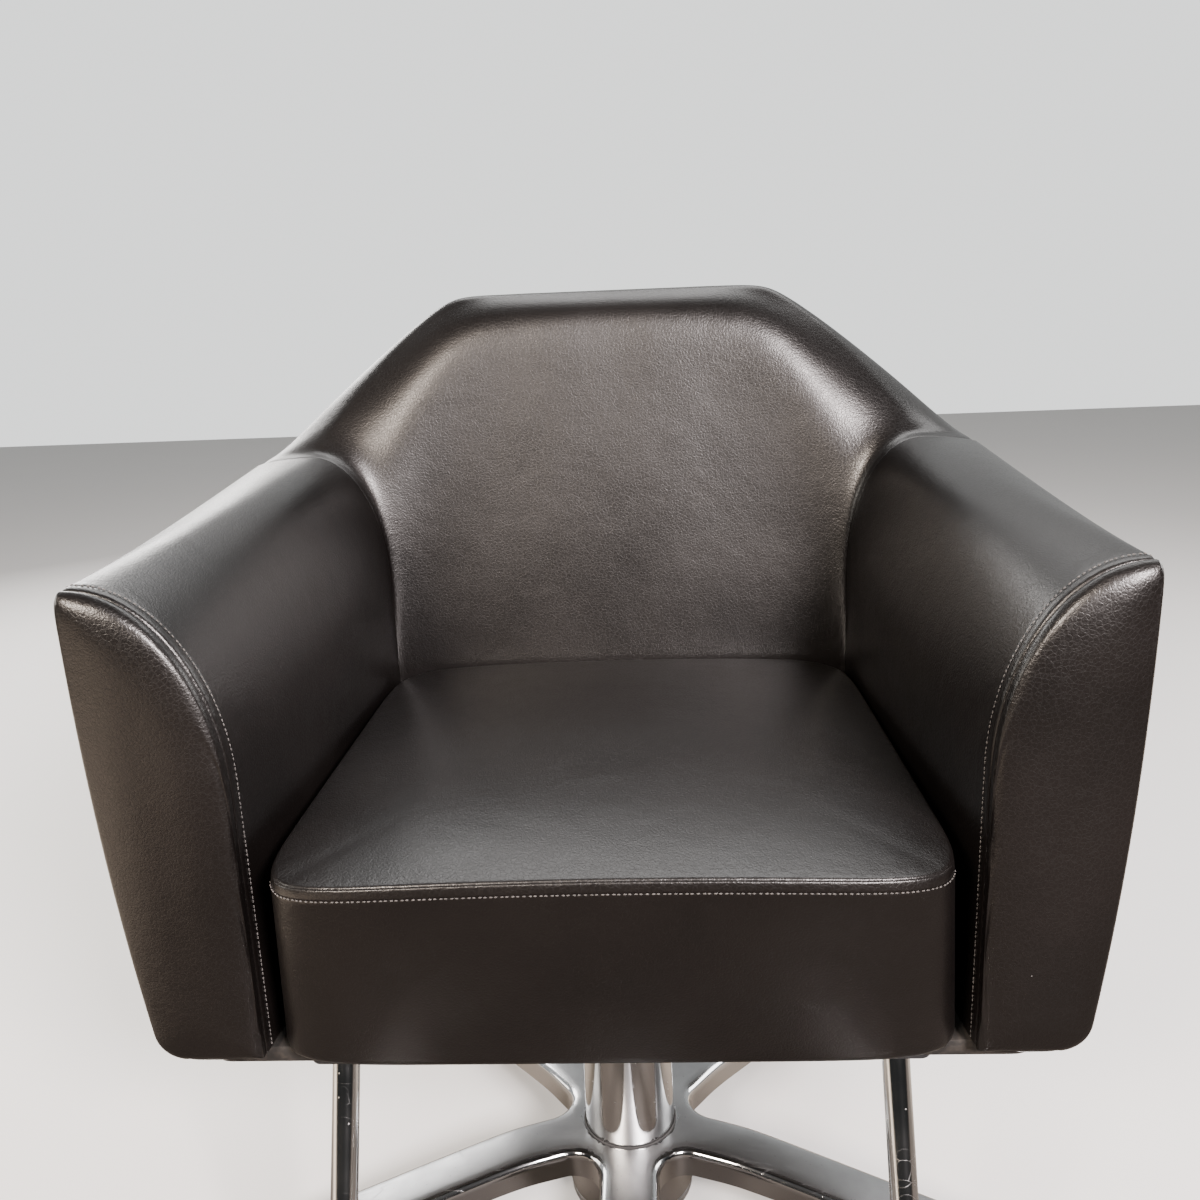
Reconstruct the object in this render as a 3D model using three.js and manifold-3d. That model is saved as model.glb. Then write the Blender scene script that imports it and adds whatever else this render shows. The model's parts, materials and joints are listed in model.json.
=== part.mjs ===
// Styling chair for a hair salon: an upholstered tub on a hydraulic column and a five-star base.
// Millimetres, +Z up. The origin is on the floor under the column; the sitter faces -Y.
import * as THREE from "three";
import { mergeVertices } from "three/addons/utils/BufferGeometryUtils.js";
import Module from "manifold-3d";

const wasm = await Module();
wasm.setup();

// ---- driving dimensions -------------------------------------------------------------------
const GAP = 0.3; // between pieces that touch
const RUN = 0.4; // radial clearance of a shaft in its bore
const REACH = 385; // from the column axis to the footrest's front and to the pedal's end

// hydraulic column
const COLUMN_RADIUS = 40;
const COLUMN_WALL = 2;
const COLUMN_TOP = 230;
const CYLINDER_RADIUS = COLUMN_RADIUS - 6;
const CYLINDER_WALL = 4;
const PUMP_BLOCK_TOP = 60;
const CAP_HEIGHT = 10;
const GASKET_WIDTH = 1.4;
const GASKET_HEIGHT = 8;
const ROD_RADIUS = 23;
const PISTON_HEIGHT = 14;
const SEAL_HEIGHT = 4;
const RETAINER_RADIUS = COLUMN_RADIUS + 15;
const RETAINER_THICKNESS = 6;

// five-star base
const LEGS = 5;
const LEG_REACH = 325; // column axis to the tip of a leg
const LEG_WIDTH = 50;
const LEG_TIP_TOP = 34; // height of a leg's top at its tip
const LEG_TIP_DEPTH = 20; // thickness of a leg at its tip
const LEG_ROOT_DEPTH = 26; // thickness of the casting round the hub
const LEG_FLAT = 105; // a leg's top is level out to here, then slopes down
const LEG_EDGE = 6; // round along a leg's top edges
const LEG_WALL = 6; // wall of the casting over the pocket under a leg
const HUB_TOP = 79;
const HUB_BOTTOM = 19; // underside of the boss that holds the pump
const BOSS_RADIUS = COLUMN_RADIUS + 16;
const WEB_RADIUS = COLUMN_RADIUS + 20; // column axis to the bottom of the curve between two legs
const HUB_ARM = WEB_RADIUS + 24; // the hub casting reaches this far into each leg
const GLIDE_RADIUS = 20;
const GLIDE_RING = 300; // circle the glides stand on
const GLIDE_STEM = 5;
const GLIDE_NECK = 12;

// pedal and the plunger it works
const PIVOT_Y = COLUMN_RADIUS + 12;
const PIVOT_Z = 62;
const PIVOT_RADIUS = 4;
const PIVOT_LENGTH = 48;
const LEVER_WIDTH = 16;
const LEVER_DEPTH = 12;
const LEVER_BOSS = 10;
const LEVER_RISE = 34; // how far the pad end stands above the pivot
const CRANK_DROP = 22; // pivot down to the plunger's axis
const PLUNGER_RADIUS = 4;
const PLUNGER_LENGTH = 30; // behind its round nose
const PLUNGER_STROKE = 6;
const PLUNGER_PLAY = 0.6; // between the plunger's nose and the lever
const PAD_WIDTH = 64;
const PAD_LENGTH = 58;
const PAD_DEPTH = 16;

// swivel and mounting
const HUB_RADIUS = 36;
const HUB_HEIGHT = 32;
const PLATE_SIZE = 200;
const PLATE_THICKNESS = 6;
const PLATE_BOLT_SPACING = 150;
const BOLT_RADIUS = 4;
const BOLT_HEAD_RADIUS = 7.5;
const BOLT_HEAD_HEIGHT = 6;
const SCREW_RADIUS = 2.5;
const SCREW_HEAD_RADIUS = 5;
const SCREW_HEAD_HEIGHT = 4;
const WASHER_THICKNESS = 3.4;

// tub
const TUB_BOTTOM = 298;
const BOARD_THICKNESS = 12;
const BOARD_INSET = 25;
const PLY = 15;
const ARM_FRONT_Y = -215;
const PANEL_THICKNESS = 13;
const SEAM_Y = 194; // plane where the arms meet the back
const ARM_OUTER_FRONT = 341; // half widths over the arms
const ARM_OUTER_REAR = 341;
const ARM_INNER_FRONT = 246; // half widths between the arms
const ARM_INNER_REAR = 220;
const ARM_BULGE = 22; // how far the outer walls draw in towards the bottom
const ARM_CORNER = 20; // round under the outer walls
const ARM_TOP_FRONT = 638;
const ARM_TOP_REAR = 663;
const ARM_SHOULDER_FRONT = 500; // height where the inner wall starts to roll over
const ARM_SHOULDER_REAR = 540;
const ARM_FLAT_FRONT = 4; // width of the level strip on top
const ARM_FLAT_REAR = 55;
const BACK_DEPTH = 98; // seam plane to the outermost back
const BACK_TOP = 808;
const BACK_TOP_HALF = 159; // half width of the level top edge
const BACK_LEAN = 58; // how far the inner face leans back from seat to top
const BACK_ROLL = 45; // height of the roll over the top edge
const BACK_EDGE = 24; // level strip on the top edge
const BACK_SLOPE_BOW = 8; // how far the sloping edges stand above a straight line

// seat cushion
const SEAT_TOP = 447; // height of the seam round the top
const SEAT_CROWN = 12;
const SEAT_HALF_FRONT = 228; // half widths at the top seam
const SEAT_HALF_REAR = 217;
const SEAT_FRONT_TOP = -248;
const SEAT_FRONT_BOTTOM = -218;
const SEAT_SIDE_PLAY = 3; // between the cushion's foot and the arms

// footrest
const TUBE_RADIUS = 9.75;
const FOOTREST_HALF = 197;
const FOOTREST_HEIGHT = 125; // centre line of the level part
const FOOTREST_SLOPE = 0.463; // forward run for each unit of drop
const FOOTREST_ROOT_Y = -176; // centre line where it meets its flange
const FOOTREST_BEND = 60;
const FLANGE_WIDTH = 46;
const FLANGE_LENGTH = 84;
const FLANGE_THICKNESS = 5;
const FLANGE_SET_BACK = 28; // centre of a flange behind its tube
const FLANGE_SCREW_SET_BACK = 40;
const FLANGE_SCREW_SPACING = 32;

// ---- materials ----------------------------------------------------------------------------
const finish = (color, roughness, metalness) => () =>
  new THREE.MeshStandardMaterial({ color, roughness, metalness });
const leather = finish(0x1c1a1b, 0.45, 0);
const chrome = finish(0xd8dadd, 0.08, 1);
const castAluminium = finish(0xb4b6b8, 0.32, 1);
const steel = finish(0x8a8c90, 0.4, 1);
const blackSteel = finish(0x202124, 0.5, 0.6);
const rubber = finish(0x141414, 0.85, 0);
const ply = finish(0xb58a58, 0.7, 0);

// ---- solids -------------------------------------------------------------------------------
function toSolid(geometry) {
  const bare = geometry.index ? geometry.toNonIndexed() : geometry.clone();
  bare.deleteAttribute("normal");
  bare.deleteAttribute("uv");
  const merged = mergeVertices(bare, 1e-3);
  return new wasm.Manifold(
    new wasm.Mesh({
      numProp: 3,
      vertProperties: merged.attributes.position.array,
      triVerts: new Uint32Array(merged.index.array),
    }),
  );
}

function toGeometry(solid) {
  const mesh = solid.getMesh();
  const places = new Float32Array(mesh.numVert * 3);
  for (let i = 0; i < mesh.numVert; i++) {
    const from = i * mesh.numProp;
    places.set(mesh.vertProperties.subarray(from, from + 3), i * 3);
  }
  const geometry = new THREE.BufferGeometry();
  geometry.setAttribute("position", new THREE.BufferAttribute(places, 3));
  geometry.setIndex(new THREE.BufferAttribute(mesh.triVerts, 1));
  geometry.computeVertexNormals();
  return geometry;
}

function combine(first, joined, cut = []) {
  let solid = toSolid(first);
  for (const geometry of joined) solid = solid.add(toSolid(geometry));
  for (const geometry of cut) solid = solid.subtract(toSolid(geometry));
  return toGeometry(solid);
}

const cutFrom = (geometry, ...cuts) => combine(geometry, [], cuts);

// An upright cylinder from one height to another.
function post(radius, low, high, x = 0, y = 0, sides = 24) {
  const geometry = new THREE.CylinderGeometry(radius, radius, high - low, sides);
  geometry.rotateX(Math.PI / 2);
  return geometry.translate(x, y, (low + high) / 2);
}

// A box between two corners.
function block(low, high) {
  const size = high.map((value, i) => value - low[i]);
  const middle = high.map((value, i) => (value + low[i]) / 2);
  return new THREE.BoxGeometry(...size).translate(...middle);
}

// A body turned about Z from [radius, height] points that run anticlockwise.
function turned(profile, sides = 48) {
  const points = profile.map(([radius, height]) => new THREE.Vector2(radius, height));
  return new THREE.LatheGeometry(points, sides).rotateX(Math.PI / 2);
}

const ring = (inner, outer, low, high, sides = 40) =>
  turned([[inner, low], [outer, low], [outer, high], [inner, high], [inner, low]], sides);

// A soft or cast form: a gridded box whose surface points, each from -1 to 1, are placed by a rule.
function formed(cells, place) {
  const geometry = new THREE.BoxGeometry(2, 2, 2, ...cells);
  const position = geometry.attributes.position;
  const point = new THREE.Vector3();
  for (let i = 0; i < position.count; i++) {
    point.fromBufferAttribute(position, i);
    position.setXYZ(i, ...place(point.x, point.y, point.z));
  }
  return geometry;
}

// A flat shape drawn in X and Y, raised from one height to another.
function slab(shape, low, high, curveSegments = 8) {
  const options = { depth: high - low, bevelEnabled: false, curveSegments };
  return new THREE.ExtrudeGeometry(shape, options).translate(0, 0, low);
}

const mix = THREE.MathUtils.lerp;
const clamp01 = (value) => THREE.MathUtils.clamp(value, 0, 1);

const chair = new THREE.Group();
function add(name, geometry, material, parent = chair) {
  const mesh = new THREE.Mesh(geometry, material());
  mesh.name = name;
  parent.add(mesh);
  return mesh;
}

// ---- five-star base -----------------------------------------------------------------------
const legAngle = (index) => -Math.PI / 2 + (index * 2 * Math.PI) / LEGS;
const legSlope = (HUB_TOP - LEG_TIP_TOP) / (LEG_REACH - LEG_FLAT);
const legTop = (r) => HUB_TOP - legSlope * Math.max(0, r - LEG_FLAT);
const legBottom = (r) => {
  const share = clamp01((r - HUB_ARM) / (LEG_REACH - HUB_ARM));
  return legTop(r) - mix(LEG_ROOT_DEPTH, LEG_TIP_DEPTH, share);
};

// One leg along +X, with rounded top edges and a round tip.
function legBody() {
  const half = LEG_WIDTH / 2;
  const root = 45;
  return formed([10, 8, 1], (a, b, c) => {
    const along = (a + 1) / 2;
    const r = mix(root, LEG_REACH, Math.sin(along * Math.PI / 2) * 0.3 + along * 0.7);
    const tip = clamp01((r - (LEG_REACH - half)) / half);
    const width = half * Math.max(0.3, Math.sqrt(1 - tip * tip));
    const side = Math.sign(b) * Math.pow(Math.abs(b), 0.6);
    const overEdge = clamp01((Math.abs(side) * half - (half - LEG_EDGE)) / LEG_EDGE);
    const drop = LEG_EDGE * (1 - Math.sqrt(1 - overEdge * overEdge));
    const top = legTop(r) - drop * Math.max(0, c);
    return [r, side * width, mix(legBottom(r), top, (c + 1) / 2)];
  });
}

// The pocket under a leg, between its root and the boss of its glide.
function legPocket() {
  const start = HUB_ARM + 6;
  const end = GLIDE_RING - GLIDE_RADIUS;
  const half = LEG_WIDTH / 2 - LEG_WALL;
  return formed([4, 1, 1], (a, b, c) => {
    const r = mix(start, end, (a + 1) / 2);
    return [r, b * half, c < 0 ? legBottom(r) - 5 : legTop(r) - LEG_WALL];
  });
}

// The hub: a star outline whose arms are the roots of the legs, with a round web between each two.
function hubBody() {
  const half = LEG_WIDTH / 2;
  const step = Math.PI / LEGS;
  const sine = Math.sin(step);
  const webRound = (WEB_RADIUS * sine - half) / (1 - sine);
  const webCentre = WEB_RADIUS + webRound;
  const shape = new THREE.Shape();
  for (let i = 0; i < LEGS; i++) {
    const angle = legAngle(i);
    const along = new THREE.Vector2(Math.cos(angle), Math.sin(angle));
    const across = new THREE.Vector2(-along.y, along.x);
    const corner = (side) =>
      along.clone().multiplyScalar(HUB_ARM).addScaledVector(across, side * half);
    const start = corner(-1);
    if (i === 0) shape.moveTo(start.x, start.y);
    else shape.lineTo(start.x, start.y);
    const end = corner(1);
    shape.lineTo(end.x, end.y);
    const web = angle + step;
    const from = web + Math.PI + (Math.PI / 2 - step);
    const to = web + Math.PI - (Math.PI / 2 - step);
    const centre = [webCentre * Math.cos(web), webCentre * Math.sin(web)];
    shape.absarc(...centre, webRound, from, to, true);
  }
  const options = {
    depth: LEG_ROOT_DEPTH - LEG_EDGE,
    bevelThickness: LEG_EDGE,
    bevelSize: LEG_EDGE,
    bevelOffset: -LEG_EDGE,
    bevelSegments: 2,
    curveSegments: 4,
  };
  const body = new THREE.ExtrudeGeometry(shape, options);
  const floor = block([-200, -200, -50], [200, 200, 0]);
  return cutFrom(body, floor).translate(0, 0, HUB_TOP - LEG_ROOT_DEPTH);
}

const glideHole = (index) => {
  const angle = legAngle(index);
  const x = GLIDE_RING * Math.cos(angle);
  const y = GLIDE_RING * Math.sin(angle);
  return { x, y };
};

const retainerScrews = [45, 135, 225, 315].map((degrees) => {
  const angle = THREE.MathUtils.degToRad(degrees);
  const radius = (COLUMN_RADIUS + RETAINER_RADIUS) / 2 + 1;
  return { x: radius * Math.cos(angle), y: radius * Math.sin(angle) };
});

const gasketInner = COLUMN_RADIUS + GAP;
const gasketOuter = gasketInner + GASKET_WIDTH;
const gasketLow = HUB_TOP + 0.8 - GASKET_HEIGHT;

function starBase() {
  const legs = [];
  const cuts = [];
  for (let i = 0; i < LEGS; i++) {
    legs.push(legBody().rotateZ(legAngle(i)));
    cuts.push(legPocket().rotateZ(legAngle(i)));
    const { x, y } = glideHole(i);
    cuts.push(post(GLIDE_STEM + GAP, 0, LEG_TIP_TOP - 7, x, y, 16));
  }
  cuts.push(post(COLUMN_RADIUS + GAP, 0, HUB_TOP + 10, 0, 0, 40));
  cuts.push(post(gasketOuter + GAP, gasketLow - GAP, HUB_TOP + 10, 0, 0, 40));
  const slotHalf = LEVER_WIDTH / 2 + 2.5;
  cuts.push(block([-slotHalf, 0, 24], [slotHalf, WEB_RADIUS + 30, HUB_TOP + 10]));
  const pin = new THREE.CylinderGeometry(PIVOT_RADIUS + GAP, PIVOT_RADIUS + GAP, PIVOT_LENGTH + 1, 20);
  cuts.push(pin.rotateZ(Math.PI / 2).translate(0, PIVOT_Y, PIVOT_Z));
  for (const { x, y } of retainerScrews) {
    cuts.push(post(SCREW_RADIUS + GAP, 0, HUB_BOTTOM + 15, x, y, 12));
  }
  const boss = post(BOSS_RADIUS, HUB_BOTTOM, HUB_TOP - LEG_ROOT_DEPTH / 2, 0, 0, 40);
  return combine(hubBody(), [boss, ...legs], cuts);
}

function glide(index) {
  const seat = legBottom(GLIDE_RING + GLIDE_NECK) - GAP;
  const profile = [
    [0, 0],
    [GLIDE_RADIUS - 3, 0],
    [GLIDE_RADIUS, 3],
    [GLIDE_RADIUS, 8],
    [GLIDE_NECK, seat],
    [GLIDE_STEM, seat],
    [GLIDE_STEM, LEG_TIP_TOP - 8],
    [0, LEG_TIP_TOP - 8],
  ];
  const { x, y } = glideHole(index);
  return turned(profile, 16).translate(x, y, 0);
}

add("star_base", starBase(), castAluminium);
for (let i = 0; i < LEGS; i++) add(`base_glide_${i + 1}`, glide(i), rubber);

// ---- hydraulic column ---------------------------------------------------------------------
const plungerZ = PIVOT_Z - CRANK_DROP;
const plungerTip = PIVOT_Y - LEVER_DEPTH / 2 - PLUNGER_PLAY;
const plungerHole = (radius, from, to) => {
  const hole = new THREE.CylinderGeometry(radius, radius, to - from, 20);
  return hole.translate(0, (from + to) / 2, plungerZ);
};

function screw(x, y, under, length, radius, headRadius, headHeight, sides) {
  const low = under - GAP - headHeight;
  const profile = [
    [0, low],
    [headRadius, low],
    [headRadius, low + headHeight],
    [radius, low + headHeight],
    [radius, low + headHeight + length],
    [0, low + headHeight + length],
  ];
  return turned(profile, sides).translate(x, y, 0);
}

const columnFoot = HUB_BOTTOM + 2;
const inner = COLUMN_RADIUS - COLUMN_WALL;
const retainerTop = HUB_BOTTOM - GAP;
const retainerLow = retainerTop - RETAINER_THICKNESS;

function columnCover() {
  const tube = ring(inner, COLUMN_RADIUS, columnFoot, COLUMN_TOP);
  const half = PLUNGER_RADIUS * 2;
  const low = [-half, COLUMN_RADIUS / 2, plungerZ - half];
  const slot = block(low, [half, COLUMN_RADIUS * 1.5, plungerZ + half]);
  return cutFrom(tube, slot);
}

function pumpBlock() {
  const body = post(inner - GAP, HUB_BOTTOM, PUMP_BLOCK_TOP, 0, 0, 48);
  const bottom = plungerTip - PLUNGER_RADIUS - PLUNGER_LENGTH - PLUNGER_STROKE;
  return cutFrom(body, plungerHole(PLUNGER_RADIUS + RUN, bottom, COLUMN_RADIUS + 5));
}

function retainerPlate() {
  const holes = retainerScrews.map(({ x, y }) =>
    post(SCREW_RADIUS + GAP, 0, HUB_TOP, x, y, 12),
  );
  return cutFrom(post(RETAINER_RADIUS, retainerLow, retainerTop, 0, 0, 48), ...holes);
}

const cylinderBore = CYLINDER_RADIUS - CYLINDER_WALL;
const rodLow = PUMP_BLOCK_TOP + 4 + PISTON_HEIGHT;
const boardLow = TUB_BOTTOM - GAP - BOARD_THICKNESS;
const plateLow = boardLow - GAP - PLATE_THICKNESS;
const hubHigh = plateLow - GAP;
const hubLow = hubHigh - HUB_HEIGHT;
const rodHigh = hubHigh - 6 - WASHER_THICKNESS - 2 * GAP;

add("column_cover", columnCover(), chrome);
add("column_gasket", ring(gasketInner, gasketOuter, gasketLow, gasketLow + GASKET_HEIGHT), rubber);
add("pump_block", pumpBlock(), steel);
const cylinderLow = PUMP_BLOCK_TOP + GAP;
add("pump_cylinder", ring(cylinderBore, CYLINDER_RADIUS, cylinderLow, COLUMN_TOP), steel);
const capLow = COLUMN_TOP + GAP;
add("cylinder_cap", ring(ROD_RADIUS + RUN, COLUMN_RADIUS, capLow, capLow + CAP_HEIGHT), chrome);
add("pump_retaining_plate", retainerPlate(), steel);
retainerScrews.forEach(({ x, y }, i) => {
  const length = RETAINER_THICKNESS + 14;
  const body = screw(x, y, retainerLow, length, SCREW_RADIUS, SCREW_HEAD_RADIUS, SCREW_HEAD_HEIGHT, 12);
  add(`retaining_screw_${i + 1}`, body, steel);
});

// ---- piston -------------------------------------------------------------------------------
function pistonHead() {
  const low = rodLow - GAP - PISTON_HEIGHT;
  const radius = cylinderBore - RUN;
  const groove = radius - 3;
  const grooveLow = low + 5;
  const grooveHigh = grooveLow + SEAL_HEIGHT + 2 * GAP;
  const profile = [
    [0, low],
    [radius, low],
    [radius, grooveLow],
    [groove, grooveLow],
    [groove, grooveHigh],
    [radius, grooveHigh],
    [radius, low + PISTON_HEIGHT],
    [0, low + PISTON_HEIGHT],
  ];
  return turned(profile, 40);
}

function pistonSeal() {
  const low = rodLow - GAP - PISTON_HEIGHT + 5 + GAP;
  const outer = cylinderBore - GAP / 2;
  return ring(outer - 2.4, outer, low, low + SEAL_HEIGHT, 40);
}

add("piston_rod", post(ROD_RADIUS, rodLow, rodHigh, 0, 0, 48), chrome);
add("piston_head", pistonHead(), steel);
add("piston_seal", pistonSeal(), rubber);
const washerLow = rodHigh + GAP;
add("swivel_thrust_washer", ring(6, ROD_RADIUS - 1, washerLow, washerLow + WASHER_THICKNESS, 32), steel);

// ---- pedal --------------------------------------------------------------------------------
const padLow = PIVOT_Z + LEVER_RISE - PAD_DEPTH / 2;
const barEnd = REACH - 12;

// Side view of the lever: a crank that hangs from the pivot and a bar that rises to the pad.
function leverShape() {
  const half = LEVER_DEPTH / 2;
  const bendY = PIVOT_Y + 40;
  const flatY = REACH - PAD_LENGTH - 30;
  const barZ = PIVOT_Z + LEVER_RISE;
  const shape = new THREE.Shape();
  shape.moveTo(PIVOT_Y - half, plungerZ - 7);
  shape.lineTo(PIVOT_Y + half, plungerZ - 7);
  shape.lineTo(PIVOT_Y + half + 2, PIVOT_Z - half);
  shape.lineTo(bendY, PIVOT_Z - half);
  shape.bezierCurveTo(bendY + 60, PIVOT_Z - half, flatY - 80, barZ - half, flatY, barZ - half);
  shape.lineTo(barEnd, barZ - half);
  shape.lineTo(barEnd, barZ + half);
  shape.lineTo(flatY, barZ + half);
  shape.bezierCurveTo(flatY - 80, barZ + half, bendY + 60, PIVOT_Z + half, bendY, PIVOT_Z + half);
  shape.lineTo(PIVOT_Y + LEVER_BOSS, PIVOT_Z + half);
  const rise = Math.asin(half / LEVER_BOSS);
  const start = Math.PI - Math.acos(half / LEVER_BOSS);
  shape.absarc(PIVOT_Y, PIVOT_Z, LEVER_BOSS, rise, start + 0.45, false);
  shape.lineTo(PIVOT_Y - half, PIVOT_Z - half - 2);
  const hole = new THREE.Path();
  hole.absarc(PIVOT_Y, PIVOT_Z, PIVOT_RADIUS + RUN, 0, 2 * Math.PI, true);
  shape.holes.push(hole);
  return shape;
}

// A shape drawn in Y and Z, given a width across X.
function across(shape, width, curveSegments = 10) {
  const geometry = new THREE.ExtrudeGeometry(shape, { depth: width, bevelEnabled: false, curveSegments });
  const turn = new THREE.Matrix4().makeBasis(
    new THREE.Vector3(0, 1, 0),
    new THREE.Vector3(0, 0, 1),
    new THREE.Vector3(1, 0, 0),
  );
  return geometry.applyMatrix4(turn).translate(-width / 2, 0, 0);
}

function pedalPad() {
  const body = formed([6, 6, 2], (a, b, c) => {
    const round = Math.pow(Math.pow(Math.abs(a), 8) + Math.pow(Math.abs(b), 8), -1 / 8);
    const pull = (a || b) && Number.isFinite(round) ? round * Math.max(Math.abs(a), Math.abs(b)) : 1;
    const crown = c > 0 ? 2 * (1 - a * a) - 2 : 0;
    return [
      (a * pull * PAD_WIDTH) / 2,
      REACH - PAD_LENGTH / 2 + (b * pull * PAD_LENGTH) / 2,
      padLow + ((c + 1) / 2) * PAD_DEPTH + crown,
    ];
  });
  const half = LEVER_DEPTH / 2 + GAP;
  const middle = PIVOT_Z + LEVER_RISE;
  const side = LEVER_WIDTH / 2 + GAP;
  const slot = block([-side, REACH - PAD_LENGTH - 10, middle - half], [side, barEnd + GAP, middle + half]);
  return cutFrom(body, slot);
}

function plunger() {
  const nose = plungerTip - PLUNGER_RADIUS;
  const profile = [[0, -PLUNGER_LENGTH], [PLUNGER_RADIUS, -PLUNGER_LENGTH], [PLUNGER_RADIUS, 0]];
  for (let i = 1; i <= 4; i++) {
    const angle = (i * Math.PI) / 8;
    profile.push([PLUNGER_RADIUS * Math.cos(angle), PLUNGER_RADIUS * Math.sin(angle)]);
  }
  profile[profile.length - 1][0] = 0;
  return turned(profile, 20).rotateX(-Math.PI / 2).translate(0, nose, plungerZ);
}

const pivotPin = new THREE.CylinderGeometry(PIVOT_RADIUS, PIVOT_RADIUS, PIVOT_LENGTH, 20);
add("pedal_pivot_pin", pivotPin.rotateZ(Math.PI / 2).translate(0, PIVOT_Y, PIVOT_Z), steel);
add("pedal_lever", across(leverShape(), LEVER_WIDTH), chrome);
add("pedal_pad", pedalPad(), rubber);
add("pump_plunger", plunger(), steel);

// ---- swivel and mounting plate --------------------------------------------------------------
function swivelHub() {
  const socket = rodHigh + WASHER_THICKNESS + 2 * GAP;
  const bore = ROD_RADIUS + RUN;
  const profile = [
    [bore, hubLow],
    [HUB_RADIUS - 4, hubLow],
    [HUB_RADIUS, hubLow + 4],
    [HUB_RADIUS, hubHigh],
    [0, hubHigh],
    [0, socket],
    [bore, socket],
    [bore, hubLow],
  ];
  return turned(profile, 48);
}

const plateBolts = [-1, 1].flatMap((i) =>
  [-1, 1].map((j) => ({ x: (i * PLATE_BOLT_SPACING) / 2, y: (j * PLATE_BOLT_SPACING) / 2 })),
);

function roundedRectangle(left, right, front, rear, frontRound, rearRound) {
  const shape = new THREE.Shape();
  shape.moveTo(left + frontRound, front);
  shape.lineTo(right - frontRound, front);
  shape.absarc(right - frontRound, front + frontRound, frontRound, -Math.PI / 2, 0, false);
  shape.lineTo(right, rear - rearRound);
  shape.absarc(right - rearRound, rear - rearRound, rearRound, 0, Math.PI / 2, false);
  shape.lineTo(left + rearRound, rear);
  shape.absarc(left + rearRound, rear - rearRound, rearRound, Math.PI / 2, Math.PI, false);
  shape.lineTo(left, front + frontRound);
  shape.absarc(left + frontRound, front + frontRound, frontRound, Math.PI, 1.5 * Math.PI, false);
  return shape;
}

function mountPlate() {
  const half = PLATE_SIZE / 2;
  const outline = roundedRectangle(-half, half, -half, half, 12, 12);
  const holes = plateBolts.map(({ x, y }) => post(BOLT_RADIUS + GAP, 0, 400, x, y, 16));
  return cutFrom(slab(outline, plateLow, plateLow + PLATE_THICKNESS, 4), ...holes);
}

const boltLength = PLATE_THICKNESS + BOARD_THICKNESS - 2;

add("swivel_hub", swivelHub(), blackSteel);
add("mount_plate", mountPlate(), blackSteel);
plateBolts.forEach(({ x, y }, i) => {
  const body = screw(x, y, plateLow, boltLength, BOLT_RADIUS, BOLT_HEAD_RADIUS, BOLT_HEAD_HEIGHT, 16);
  add(`plate_bolt_${i + 1}`, body, steel);
});

// ---- footrest -------------------------------------------------------------------------------
const flangeLow = boardLow - GAP - FLANGE_THICKNESS;
const flangeY = FOOTREST_ROOT_Y + FLANGE_SET_BACK;

// A corner of a centre line, cut back by the same length on both sides and rounded.
function bend(before, corner, after, length) {
  const start = before.clone().sub(corner).setLength(length).add(corner);
  const end = after.clone().sub(corner).setLength(length).add(corner);
  return new THREE.QuadraticBezierCurve3(start, corner, end);
}

function footrestPath() {
  const front = -(REACH - TUBE_RADIUS);
  const drop = flangeLow + 12 - FOOTREST_HEIGHT;
  const rootY = FOOTREST_ROOT_Y + 12 * FOOTREST_SLOPE;
  const kneeY = rootY - drop * FOOTREST_SLOPE;
  const side = (sign) => [
    new THREE.Vector3(sign * FOOTREST_HALF, rootY, flangeLow + 12),
    new THREE.Vector3(sign * FOOTREST_HALF, kneeY, FOOTREST_HEIGHT),
    new THREE.Vector3(sign * FOOTREST_HALF, front, FOOTREST_HEIGHT),
  ];
  const points = [...side(-1), ...side(1).reverse()];
  const path = new THREE.CurvePath();
  let from = points[0];
  for (let i = 1; i < points.length - 1; i++) {
    const round = bend(points[i - 1], points[i], points[i + 1], FOOTREST_BEND);
    path.add(new THREE.LineCurve3(from, round.v0));
    path.add(round);
    from = round.v2;
  }
  path.add(new THREE.LineCurve3(from, points[points.length - 1]));
  return path;
}

function footrestBar() {
  const section = new THREE.Shape().absarc(0, 0, TUBE_RADIUS, 0, 2 * Math.PI, false);
  const options = { steps: 56, curveSegments: 7, extrudePath: footrestPath(), bevelEnabled: false };
  const tube = new THREE.ExtrudeGeometry(section, options);
  const top = flangeLow - GAP;
  return cutFrom(tube, block([-300, -300, top], [300, 0, top + 100]));
}

const flangeScrews = [-1, 1].flatMap((side) =>
  [-1, 1].map((end) => ({
    x: side * FOOTREST_HALF,
    y: FOOTREST_ROOT_Y + FLANGE_SCREW_SET_BACK + (end * FLANGE_SCREW_SPACING) / 2,
  })),
);

function flange(side) {
  const x = side * FOOTREST_HALF;
  const half = FLANGE_WIDTH / 2;
  const ends = FLANGE_LENGTH / 2;
  const outline = roundedRectangle(x - half, x + half, flangeY - ends, flangeY + ends, 8, 8);
  const holes = flangeScrews.map((at) => post(SCREW_RADIUS + GAP, 0, 400, at.x, at.y, 12));
  return cutFrom(slab(outline, flangeLow, flangeLow + FLANGE_THICKNESS, 3), ...holes);
}

const flangeScrewLength = FLANGE_THICKNESS + BOARD_THICKNESS - 3;

add("footrest_bar", footrestBar(), chrome);
add("footrest_flange_left", flange(-1), blackSteel);
add("footrest_flange_right", flange(1), blackSteel);
flangeScrews.forEach(({ x, y }, i) => {
  const body = screw(
    x, y, flangeLow, flangeScrewLength, SCREW_RADIUS, SCREW_HEAD_RADIUS, SCREW_HEAD_HEIGHT, 12,
  );
  add(`footrest_screw_${i + 1}`, body, steel);
});

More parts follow.
